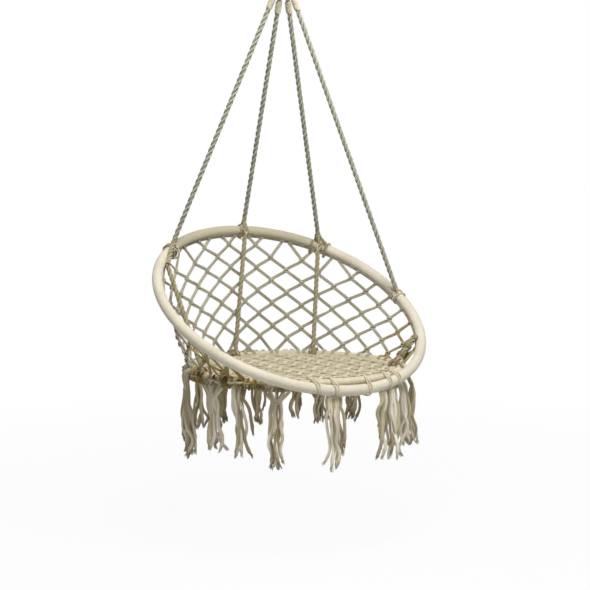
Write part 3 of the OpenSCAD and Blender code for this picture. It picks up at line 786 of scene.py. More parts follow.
def mouth(i, j, side, lower):
    """Where a pair of cords leaves a knot: left or right of its middle, at its top or bottom."""
    round_way, _, down = net_axes(net_angle(i, j))
    return net_knot(i, j) + side * MOUTH_SIDE * round_way + lower * MOUTH_DROP * down


def tie_to_hem(bundle, i, j, ni, side):
    fall = knot_drop(i, j) - knot_drop(ni, j - 1)
    if fall <= 0:
        return
    share = TIE_SHARE * min(1, knot_drop(i, j) / fall)
    angle = column_angle(net_column(i, j) + side * share / 2)
    hem, along, way = hem_point(angle), hoop_along(angle), hem_way(angle)
    stops = [net_knot(i, j), mouth(i, j, side, -1), net_ends(angle)[0]]
    net_leg(bundle, stops, net_axes(angle)[1], (net_share(i, j), 0))
    for shift in (-NET_CORD_R, NET_CORD_R):
        bundle.stamp(hem_loop, hem + shift * along, way, np.cross(along, way), along, share=0.0)


def tie_to_seat(bundle, i, j, ni, side):
    fall = knot_left(i, j) - knot_left(ni, j + 1)
    share = min(FOOT_SHARE, knot_left(i, j) / fall) if fall > 0 else FOOT_SHARE
    angle = column_angle(net_column(i, j) + side * share / 2)
    turn = seat_turn(angle)
    stops = [net_knot(i, j), mouth(i, j, side, 1), net_ends(angle)[1]]
    net_leg(bundle, stops, net_axes(angle)[1], (net_share(i, j), 1))
    for shift in (-NET_CORD_R, NET_CORD_R):
        at = seat_point(turn) + shift * seat_along(turn)
        bundle.stamp(hoop_loop, at, -seat_inward(turn), Z_AXIS, seat_along(turn), share=1.0)


def tie_knot(bundle, i, j):
    knot, axes = net_knot(i, j), net_axes(net_angle(i, j))
    bundle.stamp(square_knot, knot, *axes, share=net_share(i, j))
    for side in (-1, 1):
        ni = i + j % 2 if side > 0 else i + j % 2 - 1
        if not is_knot(ni, j - 1):
            tie_to_hem(bundle, i, j, ni, side)
        if is_knot(ni, j + 1):
            stops = [knot, mouth(i, j, side, 1), mouth(ni, j + 1, -side, -1), net_knot(ni, j + 1)]
            net_leg(bundle, stops, axes[1], (net_share(i, j), net_share(ni, j + 1)))
        else:
            tie_to_seat(bundle, i, j, ni, side)


# %% Tie the net
FRONT_STRIPS = (1, 11, 12)
FILL_ANGLES = [-124, -113, -102, 118, 126]
FILL_SLANT, FILL_LEAST = 75, 92


def fill_front(bundle, a, side):
    """A slanted pair of cords from the hem to the seat hoop, between the knotted columns."""
    b = a + side * FILL_SLANT * net_height(a)
    if not FILL_LEAST < abs(b) < NET_LIMIT:
        return
    stops = [net_ends(a)[0], (net_ends(a)[0] + net_ends(b)[1]) / 2, net_ends(b)[1]]
    net_leg(bundle, stops, net_axes(a)[1], (0, 1))


strips = [Bundle() for _ in range(NET_STRIPS)]
knots = 0
for i in range(-NET_HALF, NET_HALF + 1):
    for j in range(NET_ROWS):
        if is_knot(i, j):
            tie_knot(strips[strip_of(i)], i, j)
            knots += 1
for a in FILL_ANGLES:
    for side in (-1, 1):
        fill_front(strips[0 if a < 0 else -1], a, side)
for s, bundle in enumerate(strips, 1):
    # The front strips take the darker, browner copy of the net yarn: painted shade.
    finish = shaded_front_yarn if s in FRONT_STRIPS else net_yarn
    bundle.piece(f"net_strip_{s}", finish, None, "net_cord", [f"side_net_{s}"])
print("knots in the net:", knots, "points:", sum(b.size for b in strips))

# %% [markdown]
# ## The padded back hoop
# The back hoop is a steel tube in foam, inside a sewn cotton sleeve. A torus is the right start: it is
# laid on the frame's hoop, and its skin is then moved. Ropes and lashings press grooves into
# the foam, and the cloth shows soft creases and a flat seam on its inner side, over the sewn hem.

# %% Reshape a torus


def fine_torus(name, middle, tilt, radius, tube, steps, sides, cuts):
    """A torus of more steps than the primitive allows: its faces are cut again after it is made."""
    bpy.ops.object.select_all(action="DESELECT")
    bpy.ops.mesh.primitive_torus_add(
        major_radius=radius, minor_radius=tube, major_segments=steps, minor_segments=sides,
        location=middle.tolist(), rotation=(tilt, 0, 0),
    )
    made = bpy.context.object
    made.name = name
    bpy.ops.object.transform_apply(location=True, rotation=True, scale=True)
    bpy.ops.object.mode_set(mode="EDIT")
    bpy.ops.mesh.select_all(action="SELECT")
    bpy.ops.mesh.subdivide(number_cuts=cuts)
    bpy.ops.object.mode_set(mode="OBJECT")
    return made


def torus_skin(made, middle, radius, ahead, aside):
    """For each point of a torus: its offset and angle, the tube's middle, and the way out from it."""
    points = points_of(made)
    offset = points - middle
    angle = np.arctan2(offset @ aside, offset @ ahead)
    ring = middle + radius * (np.outer(np.sin(angle), aside) + np.outer(np.cos(angle), ahead))
    out = points - ring
    return offset, angle, ring, out / np.linalg.norm(out, axis=1)[:, None]


def put_on(made, points, uvs, finish, body, slot, *stands_for):
    """Moves a torus to its new points and UV map, and hands it to the frame."""
    made.data.vertices.foreach_set("co", points.ravel())
    made.data.uv_layers.active.data.foreach_set("uv", uvs.ravel())
    made.data.shade_smooth()
    made.data.materials.append(finish)
    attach(made, body)
    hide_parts(*stands_for)
    print(made.name + ":", len(made.data.polygons), "faces")


# %% Sleeve
LASH_ANGLES = [159, 164.75, 176, 191.25, 199]
WRAP_SPREAD = math.degrees(0.018 / HOOP_R)
HITCH_GROOVE, HITCH_WIDTH = 0.0012, 0.9
LASH_GROOVE, LASH_WIDTH = 0.0010, 0.7
CREASES, CREASE_DEPTH = 26, 0.00011
SEAM_DEPTH, SEAM_WIDTH = 0.0007, 0.16


def near(angle, places, width):
    """1 at the given angles round the hoop, and 0 away from them."""
    gaps = np.degrees(angle)[:, None] - np.array(places)[None]
    gaps = (gaps + 180) % 360 - 180
    return np.exp(-((gaps / width) ** 2)).max(axis=1)


sleeve = fine_torus("padded_sleeve", HOOP_MID, HOOP_TILT, HOOP_R, HOOP_OUT, 200, 12, 2)
_, angle, ring, out = torus_skin(sleeve, HOOP_MID, HOOP_R, HOOP_BACK, X_AXIS)
inner = -(out @ X_AXIS) * np.sin(angle) - (out @ HOOP_BACK) * np.cos(angle)
turn = np.arctan2(out @ HOOP_DOWN, inner)

pressed = [a + side * WRAP_SPREAD for a in HITCH_ANGLES for side in (-1, 1)]
groove = HITCH_GROOVE * near(angle, pressed, HITCH_WIDTH)
groove += LASH_GROOVE * near(angle, LASH_ANGLES, LASH_WIDTH)
crease = np.zeros(len(angle))
for _ in range(CREASES):
    often, twist = draw.integers(30, 210), draw.integers(-3, 4)
    crease += draw.uniform(0.3, 1) * np.sin(often * angle + twist * turn + draw.uniform(0, math.tau))
crease *= CREASE_DEPTH * (0.5 + 0.5 * np.cos(turn - HEM_TURN))
seam = SEAM_DEPTH * np.exp(-(((turn - HEM_TURN) / SEAM_WIDTH) ** 2))
points = ring + (HOOP_OUT + crease - groove - seam)[:, None] * out
uvs = uvs_of(sleeve) * [math.tau * HOOP_R, math.tau * HOOP_OUT]
put_on(sleeve, points, uvs, cover_cloth, "chair", "cotton_cover", "back_hoop_cover", "back_hoop_foam")

# %% Hem and its stitches
HEM_OPEN, HEM_STEP, HEM_PUCKER = 33, 0.5, 0.05
STITCH_STEP, STITCH_R, STITCH_TURN = 1.1, 0.0006, 0.42
STITCH_OVER, STITCH_ALONG, STITCH_OUT = 0.0036, 0.0015, 0.0012

hem_angles = np.arange(-180 + HEM_OPEN, 180 - HEM_OPEN + 0.1, HEM_STEP)
route = np.array([hem_point(a) for a in hem_angles])
bundle = Bundle()
pucker = 1 + HEM_PUCKER * np.cos(np.arange(len(route)) * math.tau / (STITCH_STEP / HEM_STEP))
bundle.tube(route, HEM_D / 2 * pucker, sides=10, tone=0.6)
bundle.piece("sewn_hem", shaded_hem_cloth, "chair", "cotton_cover", ["back_hoop_hem"])

bundle = Bundle()
for a in np.arange(-180 + HEM_OPEN + 1, 180 - HEM_OPEN - 1, STITCH_STEP):
    for face in (-1, 1):
        tilt = HEM_TURN + face * STITCH_TURN
        way = math.cos(tilt) * hoop_inward(a) + math.sin(tilt) * HOOP_DOWN
        start = hoop_point(a) + (HOOP_OUT - 0.0002) * way
        over = np.cross(hoop_along(a), way) * -face
        end = start + STITCH_OVER * over + STITCH_ALONG * hoop_along(a) + STITCH_OUT * way
        middle = (start + end) / 2 + STITCH_R * way
        bundle.tube(evenly([start - 0.001 * way, middle, end], 0.0016), STITCH_R, sides=5)
bundle.piece("hem_stitches", twine_yarn, "chair", "whipping_twine")
print("hem and stitches done")

# %% [markdown]
# ## Rope hitches on the back hoop
# Where a rope meets the hoop it opens into two legs, and each leg is wrapped once round the padding.
# Lighter cord crosses over them. Three ropes go on over the hoop and become their inner stay. The
# right rope's end is tucked in on the hoop, because its stay hangs farther to the front. The top of
# that stay is doubled: a second rope comes over the hoop beside it, held by three bands of cord.

# %% Ways of a rope on the hoop
LEG_D, LEG_LAY = [0.0062, 0.0062, 0.0100, 0.0050], 0.038
LEG_POINTS, LEG_TURN, LEG_TUCK = 24, (14, 345), 0.004
FORK_SPREAD, FORK_SHARES = [0.011, 0.012, 0.027, 0.011], (0.30, 0.72, 1.0)
FORK_BACK, FORK_HALF, FORK_DROP = 0.010, 0.003, 0.004
CROSS_R, CROSS_SWING, CROSS_RISE = 0.0021, 0.0095, 0.0132
CROSS_FROM, HEM_RISE, HEM_FROM, HITCH_GRAIN = 0.6, 0.0056, 0.72, 0.0035
STAY_REACH = HOOP_OUT + STAY_D / 2
LEFT, RIGHT = 0, 3
LEAD_BACK, LEAD_DROP, LEAD_IN, TUCK_DROP = 0.004, 0.010, 0.003, 0.012
LEAD_STEPS, LEFT_LEAN = [(0.2, 0.7), (0.55, 1.6), (1.0, 5.0)], 0.6


def past(value, start):
    """0 up to a start value, and from there evenly up to 1 at 1."""
    return max(0.0, (value - start) / (1 - start))


def wrap_way(angle, up, turn):
    """The way out of the hoop's tube, at a turn round it from its upper side."""
    return math.cos(turn) * up + math.sin(turn) * np.cross(hoop_along(angle), up)


def hitch_round(angle, shift, up, turn, reach):
    """A point on a wrap round the hoop, which rises over the hem."""
    b = angle + math.degrees(shift / HOOP_R)
    way = wrap_way(angle, up, turn)
    return hoop_point(b) + (reach + HEM_RISE * past(way @ hem_way(b), HEM_FROM)) * way


def cross_reach(k, up, turn):
    """A crossing cord lies on the padding, and stands off where it passes over the rope."""
    angle = HITCH_ANGLES[k]
    over = 0.0 if k == RIGHT else wrap_way(angle, up, turn) @ hoop_inward(angle)
    return HOOP_OUT + CROSS_R + CROSS_RISE * past(over, CROSS_FROM)


def rope_lead(k):
    """The rope's way over the hoop to the top of its stay, or its end that is tucked in on the hoop."""
    angle, way, foot = HITCH_ANGLES[k], rope_way(k), rope_foot(k)
    start = foot - LEAD_BACK * way
    if k == RIGHT:
        return [start, foot + TUCK_DROP * way, foot + (HITCH_H + LEAD_BACK) * way]
    route = [start, foot + LEAD_DROP * way + LEAD_IN * hoop_inward(angle)]
    for share, lean in LEAD_STEPS:
        b = angle + share * (STAY_ANGLES[k] - angle)
        up = across(-way, hoop_along(b))
        if k == LEFT:
            up, lean = -HOOP_DOWN, LEFT_LEAN * lean
        route.append(hoop_point(b) + STAY_REACH * unit(up + lean * hoop_inward(b)))
    return route


def hitch_leg(k, side, up):
    """One leg of the opened rope: out of its foot, round the padding, and in under itself."""
    way, along = rope_way(k), hoop_along(HITCH_ANGLES[k])
    first, *wrapped = np.array(FORK_SHARES) * FORK_SPREAD[k]
    fork = [rope_foot(k) - FORK_BACK * way + FORK_HALF * side * along]
    fork += [rope_foot(k) + FORK_DROP * way + first * side * along]
    turns = np.radians(np.linspace(*LEG_TURN, LEG_POINTS)) * side
    shifts = np.linspace(*wrapped, LEG_POINTS)
    reach = HOOP_OUT + LEG_D[k] / 2
    reaches = np.interp(np.arange(LEG_POINTS), [0, 20, 23], [reach, reach, HOOP_OUT - LEG_TUCK])
    steps = zip(shifts, turns, reaches)
    return fork + [hitch_round(HITCH_ANGLES[k], side * s, up, t, r) for s, t, r in steps]


# %% Tie the hitches
for k, angle in enumerate(HITCH_ANGLES):
    up = across(-rope_way(k), hoop_along(angle))
    legs, binding = Bundle(), Bundle()
    lay_rope(legs, evenly(rope_lead(k), HITCH_GRAIN), STAY_D, STAY_LAY)
    for side in (-1, 1):
        leg = evenly(hitch_leg(k, side, up), HITCH_GRAIN)
        lay_rope(binding if k == RIGHT else legs, leg, LEG_D[k], LEG_LAY)
        cross = [
            hitch_round(angle, side * CROSS_SWING * math.cos(t), up, t, cross_reach(k, up, t))
            for t in np.radians(np.linspace(0, 360, 25))
        ]
        binding.tube(evenly(cross, 0.0032), CROSS_R, sides=7, tone=0.7)
    legs.piece(f"hitch_legs_{k + 1}", stay_yarn, "chair", "cotton_rope", [f"hoop_hitch_{k + 1}"])
    binding.piece(f"hitch_binding_{k + 1}", seat_yarn, "chair", "net_cord")
print("hitches tied:", len(HITCH_ANGLES))

# %% Double the right stay
HEAD_SHIFT, HEAD_RISE, HEAD_DROP = 0.0146, 40, 0.105
SEIZE_R, SEIZE_TURNS, SEIZE_PLACES = 0.0020, 3, (0.25, 0.55, 0.85)
SEIZE_WIDE, SEIZE_DEEP = 0.0156, 0.0092

top, low = stay_ends(RIGHT)
way, reach = unit(low - top), np.linalg.norm(low - top)
along = hoop_along(STAY_ANGLES[RIGHT])
beside = STAY_ANGLES[RIGHT] + math.degrees(HEAD_SHIFT / HOOP_R)
over = [
    hoop_point(beside) + STAY_REACH * (math.cos(t) * hoop_inward(beside) - math.sin(t) * HOOP_DOWN)
    for t in np.radians(range(HEAD_RISE, -1, -15))
]
hang = [top + HEAD_SHIFT * along + d * way for d in np.linspace(0.2, 1, 5) * HEAD_DROP]
route = evenly([*over, *hang], 0.004)
bundle = Bundle()
lay_rope(bundle, route, STAY_D, STAY_LAY, np.clip((route - top) @ way / reach, 0, 1))

wide = across(along, way)
t = np.linspace(0, 1, COIL_POINTS * SEIZE_TURNS)
turn = math.tau * SEIZE_TURNS * t
coil = np.outer(SEIZE_WIDE * np.cos(turn), wide)
coil += np.outer(SEIZE_DEEP * np.sin(turn), np.cross(way, wide))
coil += np.outer(2 * SEIZE_R * SEIZE_TURNS * t, way)
for place in SEIZE_PLACES:
    drop = place * HEAD_DROP
    middle = top + 0.5 * HEAD_SHIFT * along + drop * way
    bundle.tube(middle + coil, SEIZE_R, sides=6, tone=-0.3, share=drop / reach, first=way)
bundle.piece("stay_heads", stay_yarn, None, "cotton_rope")
print("right stay doubled, bands of cord:", len(SEIZE_PLACES))

# %% [markdown]
# ## The seat hoop
# The seat hoop is wound closely with cord. A torus with many steps takes the winding: its skin is
# lifted into ridges that run round the tube on a slant, one ridge for each turn of the cord. Under it
# hangs a cord covered with half hitches, which carries the fringe. From the back round to the left
# the outer side is painted darker as shade, and more cords are knotted over it, dark and light ones
# mixed.

# %% Wound seat hoop
WIND_TURNS, WIND_DEPTH, WIND_TONES = 352, 0.0013, (0.6, 1.2)
WIND_SIDE_SHADE, WIND_SHADE, SHADE_MIDDLE = 2.4, math.radians(-15), math.radians(-60)
Y_AXIS = np.array([0.0, 1.0, 0.0])


def shaded_side(a):
    """1 where the seat's edge is painted dark as shade, from the back round to the left, and 0 at the
    pale front right.
    """
    return np.clip((np.cos(np.radians(a) - SHADE_MIDDLE) + 0.3) / 0.6, 0, 1)


winding = fine_torus("wound_seat_hoop", SEAT_MID, 0, SEAT_R, SEAT_OUT, 220, 3, 7)
offset, angle, ring, out = torus_skin(winding, SEAT_MID, SEAT_R, X_AXIS, Y_AXIS)
turn = np.arctan2(offset[:, 2], np.hypot(offset[:, 0], offset[:, 1]) - SEAT_R)
ridge = np.abs(np.cos(WIND_TURNS / 2 * angle + turn / 2))
points = ring + (SEAT_OUT - WIND_DEPTH * (1 - ridge))[:, None] * out
lap = np.floor((angle + math.pi) / math.tau * WIND_TURNS + turn / math.tau).astype(int) % WIND_TURNS
# Painted shade: the outer, lower side of the winding is darker, most of all from the back round to the
# left.
side_shade = WIND_SIDE_SHADE * np.clip(np.cos(turn - WIND_SHADE), 0, 1) * shaded_side(90 - np.degrees(angle))
tones = winding.data.attributes.new("tone", "FLOAT", "POINT")
tones.data.foreach_set("value", draw.uniform(*WIND_TONES, WIND_TURNS)[lap] - side_shade)
uvs = uvs_of(winding)[:, ::-1] * [math.tau * SEAT_OUT, WIND_TURNS / 3]
put_on(winding, points, uvs, seat_yarn, "seat", "seat_cord", "seat_hoop_wrap")

# %% Edge cord with half hitches
EDGE_D, EDGE_OPEN, EDGE_STEP = 0.010, 30, 1.5
# The edge cords' tones are random light and dark ones, and they run low as painted shade.
HITCH_STEP, HITCH_CORD_R, HITCH_SWAY, HITCH_TONES = 1.9, 0.0032, 0.12, (-1.0, 0.4)
WRAP_STEP, WRAP_SLANT, WRAP_SWAY, WRAP_SHADED = 2.15, 0.35, 0.15, 0.3
WRAP_R, WRAP_LIFT, WRAP_TUCK = 0.0033, 0.0016, -0.003
WRAP_TURNS = np.array([78, 60, 32, 4, -24, -52, -80, -100])
BAR_R, BAR_STOPS = 0.0031, [(-1.9, 0.0006), (-1.1, 0.0066), (1.1, 0.0066), (1.9, 0.0006)]
EDGE_TONES = [-2.2, -1.4, 0.4, 2.2]


def edge_angles(step):
    """Angles round the seat hoop, apart from the front, where the two hoops are lashed."""
    return np.arange(-180 + EDGE_OPEN, 180.1 - EDGE_OPEN, step)


def outer_side(a, turn, reach):
    """A point round the seat hoop's tube: turn 0 points outwards, 90 up."""
    s, c = sin_cos(turn)
    return seat_point(a) + (SEAT_OUT + reach) * (s * Z_AXIS - c * seat_inward(a))


def edge_wrap(bundle, a, slant, tone):
    """A cord over the outer side of the seat hoop, tucked in above and below."""
    lifts = [WRAP_TUCK, WRAP_LIFT, WRAP_LIFT, WRAP_TUCK]
    reaches = np.interp(WRAP_TURNS, [-100, -80, 60, 78], lifts)
    route = [outer_side(a + slant * t / 45, t, r) for t, r in zip(WRAP_TURNS, reaches)]
    bundle.tube(np.array(route), WRAP_R, sides=6, tone=tone)


def edge_bar(bundle, a, tone):
    """The short bight that holds two such cords together."""
    turn = draw.uniform(-25, 10)
    route = evenly([outer_side(a + shift, turn, reach) for shift, reach in BAR_STOPS], 0.0045)
    bundle.tube(route, BAR_R, sides=6, tone=tone)


edge_drop = (SEAT_OUT + EDGE_D / 2) * Z_AXIS
half_hitch = wound_pattern([(0, 0, 24, 1)], HITCH_CORD_R, EDGE_D / 2, segments=12, sides=6)
bundle = Bundle()
route = np.array([seat_point(a) - edge_drop for a in edge_angles(EDGE_STEP)])
bundle.tube(route, EDGE_D / 2 - 0.001, sides=8)
for a in edge_angles(HITCH_STEP):
    b = a + draw.normal(0, HITCH_SWAY)
    tone = draw.uniform(*HITCH_TONES)
    bundle.stamp(half_hitch, seat_point(b) - edge_drop, -seat_inward(b), Z_AXIS, seat_along(b), tone)
for n, a in enumerate(edge_angles(WRAP_STEP)):
    if shaded_side(a) < WRAP_SHADED:
        continue
    b = a + draw.normal(0, WRAP_SWAY)
    edge_wrap(bundle, b, WRAP_SLANT * (-1) ** n, draw.choice(EDGE_TONES))
    if n % 2:
        edge_bar(bundle, a - WRAP_STEP / 2, draw.choice(EDGE_TONES))
bundle.piece("edge_half_hitches", shaded_edge_yarn, "seat", "fringe_cord", ["seat_edge_cord"])
print("edge cord done:", bundle.size, "points")

# %% [markdown]
# ## The knotted seat
# The seat is a net in one plane: pairs of thick cord in two directions pass over and under each other
# and are knotted where they cross. The edge is a flat band of four cords, overcast closely to the
# hoop. In the photograph the cords slant about 32 degrees to the chair's width.

# %% Cords of the seat
SEAT_PITCH, SEAT_SLANT, SEAT_BAND = 0.045, math.radians(32), 0.018
SEAT_INSIDE = SEAT_R - SEAT_OUT - 0.0003
SEAT_CORD_R, SEAT_PAIR, SEAT_STEP, SEAT_KNOT_R = 0.0026, 0.0026, 0.008, 0.0084
WEAVE, SWAY, SWAY_RATES = 0.0022, 0.0007, (60, 90)
LIGHT_CORD, DARK_CORD, LIGHT_KNOT, DARK_KNOT = (0.9, 1.25), (0.0, 0.45), (0.7, 1.2), (0.1, 0.7)

seat_knot = wound_pattern(
    [(-0.0030, 0, 26, 1), (0.0030, 0, -26, 1)], SEAT_CORD_R, SEAT_KNOT_R, flat=0.62, sides=6
)
ways = [np.array([math.cos(t), math.sin(t), 0.0]) for t in (-SEAT_SLANT, SEAT_SLANT)]
normals = [np.array([-way[1], way[0], 0.0]) for way in ways]
lines = range(-math.ceil(SEAT_INSIDE / SEAT_PITCH), math.ceil(SEAT_INSIDE / SEAT_PITCH))

bundle = Bundle()
for family in (0, 1):
    way, normal, crossed = ways[family], normals[family], normals[1 - family]
    sign = 1 - 2 * family
    for i in lines:
        shift = (i + 0.5) * SEAT_PITCH
        if abs(shift) > SEAT_INSIDE - SEAT_BAND / 2:
            continue
        half = math.sqrt((SEAT_INSIDE - 0.004) ** 2 - shift**2)
        t = np.linspace(-half, half, max(6, round(2 * half / SEAT_STEP)))
        flat = np.outer(t, way) + shift * normal
        other = flat @ crossed / SEAT_PITCH - 0.5
        lift = sign * WEAVE * np.cos(math.pi * (other + i))
        sway = SWAY * np.sin(t * draw.uniform(*SWAY_RATES) + draw.uniform(0, math.tau))
        route = SEAT_MID + flat + np.outer(lift, Z_AXIS) + np.outer(sway, normal)
        for side in (-1, 1):
            tone = draw.uniform(*(LIGHT_CORD if family else DARK_CORD))
            bundle.tube(route + side * SEAT_PAIR * normal, SEAT_CORD_R, sides=7, tone=tone)
both = np.array(normals)[:, :2]
for i in lines:
    for j in lines:
        x, y = np.linalg.solve(both, [(i + 0.5) * SEAT_PITCH, (j + 0.5) * SEAT_PITCH])
        if math.hypot(x, y) < SEAT_INSIDE - SEAT_BAND:
            over = ways[(i + j) % 2]
            side = np.cross(Z_AXIS, over)
            tone = draw.uniform(*(LIGHT_KNOT if (i + j) % 2 else DARK_KNOT))
            bundle.stamp(seat_knot, SEAT_MID + [x, y, 0], side, Z_AXIS, over, tone)
print("seat cords:", bundle.size, "points")

# %% Edge band of the seat
BAND_REACHES, BAND_CORD_R = (-0.0068, -0.0023, 0.0023, 0.0068), 0.0023
BAND_WAVES, BAND_WAVE = 60, 0.0006
CAST_R, CAST_STEP = 0.0020, 1.25

overcast = wound_pattern([(0, 0, 6, 1)], CAST_R, SEAT_BAND / 2 + 0.001, flat=0.42, sides=6)
band_r = SEAT_INSIDE - SEAT_BAND / 2
round_turn = np.linspace(0, math.tau, 241)
for n, reach in enumerate(BAND_REACHES):
    wave = BAND_WAVE * np.cos(BAND_WAVES * round_turn + n * math.pi)
    r = band_r + reach
    route = SEAT_MID + np.stack([r * np.sin(round_turn), r * np.cos(round_turn), wave], axis=1)
    bundle.tube(route, BAND_CORD_R, sides=6)
for a in np.arange(0, 360, CAST_STEP):
    at = SEAT_MID - band_r * seat_inward(a)
    bundle.stamp(overcast, at, seat_inward(a), Z_AXIS, seat_along(a))
bundle.piece("knotted_seat", seat_yarn, "seat", "seat_cord", ["seat_net"])
print("seat cords and band:", bundle.size, "points")

# %% [markdown]
# ## Feet of the stays
# Each stay ends beside the seat hoop, where a few turns of cord pass round the hoop and the stay
# together. The turns are one pattern, an oval long enough for both, stamped on its side.

# %% Bind the feet
FOOT_LOOP_R, FOOT_OVAL_R, FOOT_IN, FOOT_UP = 0.0027, 0.0235, 0.0075, 0.002
foot_knot = wound_pattern(
    [(-0.0082, 5, 4, 1), (-0.0028, -4, -5, 1.05), (0.0028, 5, 5, 1.05), (0.0082, -5, -4, 1)],
    FOOT_LOOP_R, FOOT_OVAL_R, flat=0.78, segments=24,
)
bundle = Bundle()
for a in FOOT_ANGLES:
    at = seat_point(a) + FOOT_IN * seat_inward(a) + FOOT_UP * Z_AXIS
    lean = unit(seat_inward(a) + 0.3 * Z_AXIS)
    bundle.stamp(foot_knot, at, lean, np.cross(seat_along(a), lean), seat_along(a), tone=0.2)
bundle.piece("stay_foot_knots", shaded_edge_yarn, "seat", "net_cord")
print("feet bound:", len(FOOT_ANGLES))

# %% [markdown]
# ## Lashings at the front
# At the front the two hoops lie side by side and are lashed with pairs of cord. Each lashing runs
# round both tubes in an upright plane. It is the soft hinge of the seat, and each of its points is
# given a share between the two hoops.

# %% Lash the hoops
LASH_D, LASH_GAP, LASH_CORD_R, LASH_CROSS = 0.006, 0.0003, 0.0018, 0.0050
LASH_KNOT_R = 0.0042
LASH_DARK_SPAN, LASH_TONES = [0.16, 0.26, 0.42, 0.55], [1.0, -0.8, -0.8, 1.0]


def lash_seat_angle(a):
    return 180 - math.degrees(math.asin((hoop_point(a) - SEAT_MID)[0] / SEAT_R))


def lash_far(a):
    return (HOOP_OUT + LASH_GAP) / abs(hoop_along(a)[0]) + LASH_D / 2


def lash_route(a):
    hoop, seat = hoop_point(a), seat_point(lash_seat_angle(a))
    far = lash_far(a)
    close = (SEAT_OUT + LASH_GAP) / abs(sin_cos(lash_seat_angle(a))[1]) + LASH_D / 2
    way = unit((hoop - seat) * [0, 1, 1])
    up = np.cross(X_AXIS, way)
    flare = math.asin((far - close) / np.linalg.norm(hoop - seat))
    out = np.linspace(-math.pi / 2 - flare, math.pi / 2 + flare, 12)
    back = np.linspace(math.pi / 2 + flare, 1.5 * math.pi - flare, 12)
    loop = [hoop + far * (math.cos(t) * way + math.sin(t) * up) for t in out]
    loop += [seat + close * (math.cos(t) * way + math.sin(t) * up) for t in back]
    return evenly(loop + loop[:2], 0.004), hoop, seat


lash_knot = wound_pattern(
    [(-0.0024, 10, 20, 1), (0.0024, -10, -20, 1)], LASH_CORD_R, LASH_KNOT_R, segments=10, sides=6
)
bundle = Bundle()
for a in LASH_ANGLES:
    route, hoop, seat = lash_route(a)
    share = np.clip((route - hoop) @ (seat - hoop) / ((seat - hoop) @ (seat - hoop)), 0, 1)
    t = np.linspace(0, 1, len(route))
    sway = LASH_CROSS * np.cos(math.tau * t)
    # The cords are darker along one stretch of each loop.
    tone = np.interp(t, LASH_DARK_SPAN, LASH_TONES)
    for side in (-1, 1):
        cord = route + np.outer(side * sway, X_AXIS)
        bundle.tube(cord, LASH_CORD_R, sides=7, tone=np.repeat(tone, 7), share=share, first=X_AXIS)
    front = len(route) // 3
    out = unit(route[front] - hoop)
    bundle.stamp(lash_knot, route[front] + 0.001 * out, X_AXIS, out, np.cross(X_AXIS, out), tone=-1.4)
bundle.piece("lashing_cords", seat_yarn, None, "net_cord", ["front_lashings"])
print("lashings:", len(LASH_ANGLES))

# %% [markdown]
# ## The fringe
# Each tassel is a handful of cords folded over the edge cord, with a row of half hitches over the
# folds. Two at the front left spread wide and are drawn together by a knot below. The cords are limp:
# they hang with small waves, each its own way, and their cut ends have come apart into fibres. The
# loops on the seat's edge are painted darker as shade, like the edge itself.

# %% Tassel places
TASSELS, TASSEL_STEP, TASSEL_LEN = 16, 22.5, 0.190
TASSEL_NUDGE = [1, 0, -8, -10, -5, 4, -4, -4, 0, 8, 6, 0, 2, 0, 0, 0]
TASSEL_EXTRA = [10, 0, 15, -5, 0, 10, 0, 5, 10, 10, 0, 0, 35, 10, 0, 5]
FOLD_OUT = [0.006] * 5 + [0.036, 0.022] + [0.006] * 5 + [0.020] + [0.006] * 3
# Which tassels are of each kind, counted from the back round by the right
BACK, PATCHY, OPEN, WINGED = (0, 1, 2, 3, 4, 13, 14, 15), (8, 12), (5, 6, 7), (9, 11)
FULLEST, OVER_HOOP, SHADED_TASSELS, LONGEST = (5, 7, 12), (5, 12), (8, 9, 10, 11), 9
FEW_CORDS, MANY_CORDS, LONG_SHARE = 4, 6, 1.09

# Half the width of a head, how far it is gathered, and half the spread below
HEAD_PLAIN, HEAD_WINGED = (0.020, 0.85, 0.022), (0.036, 0.34, 0.018)
HEAD_OPEN, HEAD_BACK = (0.034, 0.95, 0.034), (0.016, 0.85, 0.014)
FRONT_TONES, PATCHY_TONES = [-1.2, 1.4, -0.2, 1.8, 0.7], [-0.9, 0.6, -0.3, 1.0]
BACK_TONES = [-1.8, -1.1, -0.4]


def is_on_hoop(a):
    return abs(a - 180) < EDGE_OPEN


def tassel_top(a):
    if is_on_hoop(a):
        return hoop_point(a) - (lash_far(a) + LASH_D / 2 + 0.0006) * Z_AXIS
    return seat_point(a) - (SEAT_OUT + EDGE_D + 0.0003) * Z_AXIS


def tassel_kind(k):
    """Half the head's width, how far it is gathered, its spread below, and the tones of its cords."""
    if k in BACK:
        return *HEAD_BACK, BACK_TONES
    if k in WINGED:
        return *HEAD_WINGED, FRONT_TONES
    if k in OPEN:
        return *HEAD_OPEN, FRONT_TONES
    return *HEAD_PLAIN, PATCHY_TONES if k in PATCHY else FRONT_TONES


print("longest tassel", TASSEL_LEN + max(TASSEL_EXTRA) / 1000)

# %% Cords of a tassel
FRINGE_R, GATHER, FRINGE_STEP = 0.0045, 0.026, 0.0085
FRAY, FRAY_FIBRES, FIBRE_R = 0.020, 14, (0.0016, 0.0008)
FOLD_DARK, FOLD_SHADE = 0.018, 1.1
OVER_WAY = [(2 * SEAT_OUT + EDGE_D + 0.004, 0.004), (SEAT_OUT + EDGE_D, 0.020), (0.004, 0.022)]


